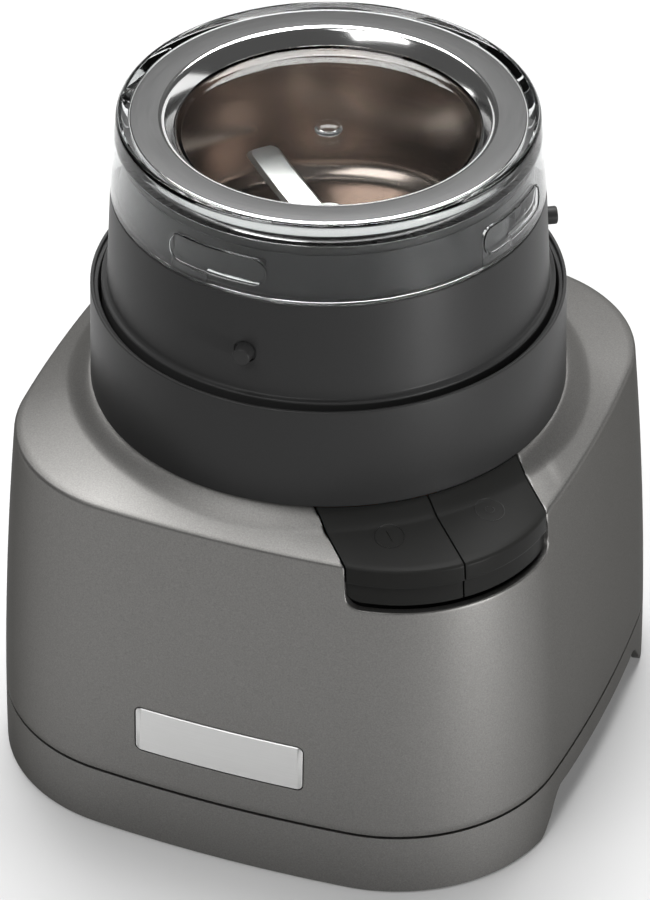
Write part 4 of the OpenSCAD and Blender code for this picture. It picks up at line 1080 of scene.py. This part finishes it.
class MILL_OT_mill_casing(bpy.types.Operator):
    """Black casing of the mill, with its bead, pegs, ledge and neck with bayonet lugs"""

    bl_idname = "mill.mill_casing"
    bl_label = "Mill casing"

    def execute(self, context):
        s = settings("mill_sizes")
        casing = lathe("mill_casing", [
            (s.skirt_r, s.socket_z + 1 * MM, 0.4 * MM), (s.skirt_r, s.rim_z + 1 * MM, 0.5 * MM),
            (s.waist_r, s.rim_z + 1.2 * MM, 0.8 * MM), (s.ledge_r, s.ledge_z, 0.4 * MM),
            (s.neck_r + 0.3 * MM, s.ledge_z, 0.3 * MM), (s.neck_r, s.neck_z + 1.3 * MM, 0.1 * MM),
            (s.neck_r - 0.3 * MM, s.neck_z + 1.3 * MM, 0.1 * MM), (s.neck_r - 0.3 * MM, s.neck_z, 0),
            (s.neck_r - s.casing, s.neck_z, 0.3 * MM), (s.neck_r - s.casing, s.ledge_z - 3 * MM, 0),
            (s.ledge_r - s.casing, s.ledge_z - 7 * MM, 0), (s.skirt_r - s.casing, s.rim_z - 5 * MM, 0),
            (s.skirt_r - s.casing, s.socket_z + 1 * MM, 0.4 * MM)], 256)
        rise = (s.peg_z - s.rim_z) / (s.ledge_z - s.rim_z)
        r = s.waist_r + (s.ledge_r - s.waist_r) * rise
        sink = 0.5 * MM
        peg_r = s.peg_d / 2
        room_r = peg_r + 0.7 * MM
        for turn in (-90, 30, 150):
            place = Matrix.Rotation(math.radians(turn), 4, "Z") @ Matrix.Translation((r, 0, s.peg_z))
            place @= Matrix.Rotation(math.pi / 2, 4, "Y")
            room = lathe_mesh([(0, -sink), (room_r, -sink), (room_r, sink), (0, sink)], 48)
            peg = lathe_mesh(rounded([
                (0, -1.5 * MM, 0), (peg_r, -1.5 * MM, 0),
                (peg_r, s.peg_out, 0.5 * MM), (0, s.peg_out, 0)], 4), 48)
            for part, operation in ((room, "DIFFERENCE"), (peg, "UNION")):
                bmesh.ops.transform(part, matrix=place, verts=part.verts)
                combine(casing, make("peg", part), operation)
        lid = settings("lid_sizes")
        for turn in LUG_TURNS:
            lug = curved_block((turn - LUG_SPAN / 2, turn + LUG_SPAN / 2),
                               (lid.lug_z, lid.lug_z + lid.lug_h), (s.neck_r - 1 * MM, lid.lug_r), 0.8 * MM)
            combine(casing, make("lug", lug), "UNION")
        dress(casing, moulded_abs(), "mill", "black_plastic", "mill_body")
        return {"FINISHED"}


class MILL_OT_bowl(bpy.types.Operator):
    """Spun steel bowl with a rolled brim"""

    bl_idname = "mill.bowl"
    bl_label = "Bowl"

    def execute(self, context):
        s = settings("mill_sizes")
        hole = 7.5 * MM
        t = s.bowl_t
        brim = s.neck_r - 0.4 * MM
        bowl = lathe("steel_bowl", [
            (hole, s.bowl_z, 0.2 * MM), (s.bowl_floor_r, s.bowl_z, s.bowl_corner),
            (s.bowl_r, s.neck_z, 0.3 * MM), (brim, s.neck_z, 0.2 * MM), (brim, s.neck_z + t, 0.3 * MM),
            (s.bowl_r - t, s.neck_z + t, 0.9 * MM), (s.bowl_floor_r - t, s.bowl_z + t, s.bowl_corner - t),
            (hole, s.bowl_z + t, 0.2 * MM)], 192, 10)
        # The bowl's warm brown tint is a painted reflection of spice, which is not modelled.
        dress(bowl, spun_bowl_painted_reflection(), "mill", "stainless", "mill_bowl")
        return {"FINISHED"}


class MILL_OT_blade(bpy.types.Operator):
    """Flat steel blade with two square wings that are bent up and ground along their cutting edges"""

    bl_idname = "mill.blade"
    bl_label = "Blade"

    def execute(self, context):
        s = settings("mill_sizes")
        low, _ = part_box("blade")
        half_w, reach = s.blade_w / 2, s.blade_reach
        xs = [reach * (i / 24 - 1) for i in range(1, 48)]
        spread = with_steps(rounded_box(reach, -half_w, half_w, s.blade_corner), xs)

        def bent(p, inset, z):
            x, y = p.x * (1 - inset / reach), p.y * (1 - inset / half_w)
            rise = max(0, abs(x) - s.blade_root) * math.tan(BLADE_BEND)
            return Vector((x, y, low.z + rise + z))

        bm = bmesh.new()
        rings = [[bm.verts.new(bent(p, inset, z)) for p in spread]
                 for inset, z in ((0.2 * MM, 0), (0, 0.3 * MM), (1.1 * MM, s.blade_t))]
        quads(bm, rings, closed=True)
        cap(bm, (rings[0], rings[-1]))
        bmesh.ops.rotate(bm, matrix=Matrix.Rotation(BLADE_TURN, 3, "Z"), verts=bm.verts)
        blade = make("ground_blade", bm, 20)
        dress(blade, ground_blade(), "cutter", "stainless", "blade")
        return {"FINISHED"}


# Lid


class MILL_OT_lid(bpy.types.Operator):
    """Clear bayonet lid with its sunken window and the brushed trim ring"""

    bl_idname = "mill.lid"
    bl_label = "Lid"

    def execute(self, context):
        s = settings("lid_sizes")
        mill = settings("mill_sizes")
        seat = s.top_z - s.sink - s.ring_t
        fit = 0.15 * MM
        seat_r = s.ring_out + fit
        groove_r = s.ring_out - s.flange_t - fit
        flange_z = seat + s.ring_t - s.flange_h
        lean = (mill.ledge_r - s.top_r) / (s.top_z - s.low_z)
        under_r = mill.ledge_r - lean * (s.under_z - s.low_z) - s.wall
        boss = 3.6 * MM
        lid = lathe("clear_lid", [
            (mill.ledge_r - s.wall, s.low_z, 0.2 * MM), (mill.ledge_r, s.low_z, 0.25 * MM),
            (s.top_r, s.top_z, s.edge), (s.top_r - s.crown, s.top_z, 0.35 * MM),
            (seat_r, s.top_z - s.sink, 0.1 * MM), (seat_r, flange_z - 0.1 * MM, 0),
            (groove_r, flange_z - 0.1 * MM, 0), (groove_r, seat, 0),
            (s.ring_in - 0.6 * MM, seat, 0), (s.window_r, s.window_z, 1.2 * MM),
            (boss, s.window_z, 0.3 * MM), (boss - 0.6 * MM, s.window_z + 1 * MM, 0.4 * MM),
            (0, s.window_z + 1 * MM, 0), (0, s.window_z - s.window_t, 0),
            (s.window_r - 1.5 * MM, s.window_z - s.window_t, 1 * MM),
            (s.window_r + 1 * MM, s.under_z, 0.5 * MM), (under_r, s.under_z, 0.6 * MM)], 256, 8)
        radii = (mill.neck_r - 1 * MM, s.lug_r + s.pocket_gap)
        play = 0.01
        for turn in LUG_TURNS:
            span = (turn - LUG_SPAN / 2 - LID_TURN - play, turn + LUG_SPAN / 2 + play)
            room = curved_block(span, (s.lug_z - 0.4 * MM, s.lug_z + s.lug_h + 0.6 * MM), radii, 3.2 * MM)
            combine(lid, make("pocket", room))
            entry = curved_block((span[0], span[0] + LUG_SPAN + 2 * play),
                                 (s.low_z - 2 * MM, s.lug_z + 3 * MM), radii, 0.3 * MM)
            combine(lid, make("entry", entry))
            combine(lid, make("bead", self.bead(s, mill, span, lean)), "UNION")
        dress(lid, clear_san(), "lid", "clear_plastic", "lid_shell")
        bevel = 0.5 * MM
        top = seat + s.ring_t
        lip_r = s.window_r + 0.3 * MM
        ring = lathe("trim_ring", [
            (s.ring_in - 0.5 * MM, seat, 0), (s.ring_out - s.flange_t, seat, 0),
            (s.ring_out - s.flange_t, flange_z, 0.1 * MM), (s.ring_out, flange_z, 0.1 * MM),
            (s.ring_out, top, bevel), (s.ring_in, top, 2.2 * MM), (lip_r, top - s.lip_h, 0.2 * MM),
            (lip_r + 0.4 * MM, top - s.lip_h, 0)], 256)
        dress(ring, brushed_trim(), "lid", "brushed_trim", "lid_trim_ring")
        ring.data.materials.append(polished_steel())
        for face in ring.data.polygons:
            r = face.center.xy.length
            if not s.ring_in + 1.3 * MM < r < s.ring_out - 1.2 * bevel:
                face.material_index = 1
        return {"FINISHED"}

    def bead(self, s, mill, span, lean):
        """Fine bead on the leaning outside of the skirt, round one bayonet pocket."""
        half_w = (span[1] - span[0]) / 2 * mill.ledge_r
        shape = rounded_box(half_w, s.lug_z - 0.6 * MM, s.lug_z + s.lug_h + 0.8 * MM, s.bead_turn)
        path = with_steps(shape, [half_w * (i / 10 - 1) for i in range(1, 20)])
        sink = 0.25
        around = [2 * math.pi * k / 10 for k in range(10)]

        def out(p, lift):
            r = mill.ledge_r - lean * (p.y - s.low_z) + lift
            a = (span[0] + span[1]) / 2 + p.x / mill.ledge_r
            return Vector((r * math.cos(a), r * math.sin(a), p.y))

        bm = bmesh.new()
        rings = []
        for before, p, after in zip(path[-1:] + path[:-1], path, path[1:] + path[:1]):
            along = (after - before).normalized()
            across = Vector((-along.y, along.x)) * s.bead_r
            rings.append([bm.verts.new(out(p + across * math.cos(a), s.bead_r * (math.sin(a) - sink)))
                          for a in around])
        quads(bm, rings + rings[:1], closed=True)
        return bm


class MILL_OT_carried_over(bpy.types.Operator):
    """Finishes of the solids that stay as they are"""

    bl_idname = "mill.carried_over"
    bl_label = "Carried-over pieces"

    def execute(self, context):
        for row in frame["record"]["subparts"]:
            node = frame["nodes"][row["node"]]
            node.data.materials.clear()
            node.data.materials.append(finish_of(row["material_slot"]))
        return {"FINISHED"}


# Stage


class MILL_OT_stage(bpy.types.Operator):
    """White floor, soft lamps and the camera at the photograph's angle"""

    bl_idname = "mill.stage"
    bl_label = "Stage"

    def execute(self, context):
        scene = context.scene
        scene.view_settings.view_transform = "Standard"

        camera = bpy.data.objects.new("camera", bpy.data.cameras.new("camera"))
        camera.location = CAMERA_PLACE
        camera.rotation_euler = Vector(CAMERA_VIEW).to_track_quat("-Z", "Y").to_euler()
        camera.data.lens = CAMERA_LENS
        camera.data.clip_start = 0.01
        scene.collection.objects.link(camera)
        scene.camera = camera

        sweep = make("sweep", self.sweep_mesh(), 180)
        sweep.data.materials.append(self.sweep_material())

        for name, kind, spot, power, size in LAMPS:
            lamp = bpy.data.objects.new(name, bpy.data.lights.new(name, kind))
            lamp.data.energy = power
            if kind == "AREA":
                lamp.data.size = size
            else:
                lamp.data.shadow_soft_size = size
            lamp.visible_camera = False
            lamp.location = spot
            lamp.rotation_euler = (LAMP_AIM - lamp.location).to_track_quat("-Z", "Y").to_euler()
            scene.collection.objects.link(lamp)
        self.world(scene)
        return {"FINISHED"}

    def shown(self, tree):
        """1 for what the camera, a mirror or glass sees, and 0 for light that falls on a surface."""
        path = add(tree, "ShaderNodeLightPath")
        seen = add(tree, "ShaderNodeMath", {
            0: path.outputs["Is Camera Ray"], 1: path.outputs["Is Glossy Ray"]}, operation="ADD")
        return add(tree, "ShaderNodeMath", {
            0: seen.outputs["Value"], 1: path.outputs["Is Transmission Ray"],
        }, operation="ADD", use_clamp=True)

    def sweep_mesh(self):
        """Floor that turns up into a backdrop behind the part."""
        back, bend, height, half_w = 2.2, 0.5, 1.05, 5.0
        line = [(-6.0, 0.0)]
        for i in range(13):
            a = math.pi / 2 * i / 12
            line.append((back - bend + bend * math.sin(a), bend - bend * math.cos(a)))
        line.append((back, height))
        bm = bmesh.new()
        quads(bm, [[bm.verts.new((x, y, z)) for x in (-half_w, half_w)] for y, z in line])
        return bm

    def sweep_material(self):
        # White paper sweep: matt white where it is seen, brighter further off so that it stays white in
        # every view, and grey for the light that it throws on the part.
        material, tree, shader, place = start("paper_white_sweep", {
            "Roughness": 0.9, "Specular IOR Level": 0.0, "Emission Color": (1, 1, 1, 1)})
        shown = self.shown(tree).outputs["Value"]
        white = add(tree, "ShaderNodeMapRange", {"Value": shown, "To Min": 0.1, "To Max": 0.6})
        away = add(tree, "ShaderNodeVectorMath", {0: place}, operation="LENGTH")
        level = add(tree, "ShaderNodeMapRange", {
            "Value": away.outputs["Value"],
            "From Min": 0.6, "From Max": 1.5, "To Min": 0.12, "To Max": 0.9})
        lift = add(tree, "ShaderNodeMath", {0: shown, 1: level.outputs["Result"]}, operation="MULTIPLY")
        tree.links.new(white.outputs["Result"], shader.inputs["Base Color"])
        tree.links.new(lift.outputs["Value"], shader.inputs["Emission Strength"])
        return material

    def world(self, scene):
        world = bpy.data.worlds.new("white_studio")
        scene.world = world
        world.use_nodes = True
        tree = world.node_tree
        tree.nodes.clear()
        light = add(tree, "ShaderNodeBackground", {"Color": (1, 1, 1, 1), "Strength": 0.08})
        add(tree, "ShaderNodeOutputWorld", {"Surface": light.outputs["Background"]})


PIECES = (
    MILL_OT_stage, MILL_OT_carried_over, MILL_OT_upper_shell, MILL_OT_badge, MILL_OT_tray, MILL_OT_feet,
    MILL_OT_keys, MILL_OT_collar, MILL_OT_mill_casing, MILL_OT_bowl, MILL_OT_blade, MILL_OT_lid,
)
GROUPS = {
    "base_sizes": BaseSizes, "key_sizes": KeySizes, "mill_sizes": MillSizes, "lid_sizes": LidSizes,
    "finish_colours": FinishColours,
}


class MILL_PT_panel(bpy.types.Panel):
    """Sizes, colours and pieces of the mill"""

    bl_idname = "MILL_PT_panel"
    bl_label = "Grinding mill"
    bl_space_type = "VIEW_3D"
    bl_region_type = "UI"
    bl_category = "Mill"

    def draw(self, context):
        for piece in PIECES:
            self.layout.operator(piece.bl_idname)
        for name, group in GROUPS.items():
            box = self.layout.box()
            for field in group.__annotations__:
                box.prop(getattr(context.scene, name), field)


def register():
    for group in GROUPS.values():
        bpy.utils.register_class(group)
    for piece in (*PIECES, MILL_PT_panel):
        bpy.utils.register_class(piece)
    for name, group in GROUPS.items():
        setattr(bpy.types.Scene, name, PointerProperty(type=group))


def unregister():
    for name in GROUPS:
        delattr(bpy.types.Scene, name)
    for piece in (MILL_PT_panel, *reversed(PIECES), *reversed(GROUPS.values())):
        bpy.utils.unregister_class(piece)


def main():
    register()
    for piece in PIECES:
        family, name = piece.bl_idname.split(".")
        getattr(getattr(bpy.ops, family), name)()


if __name__ == "__main__":
    main()
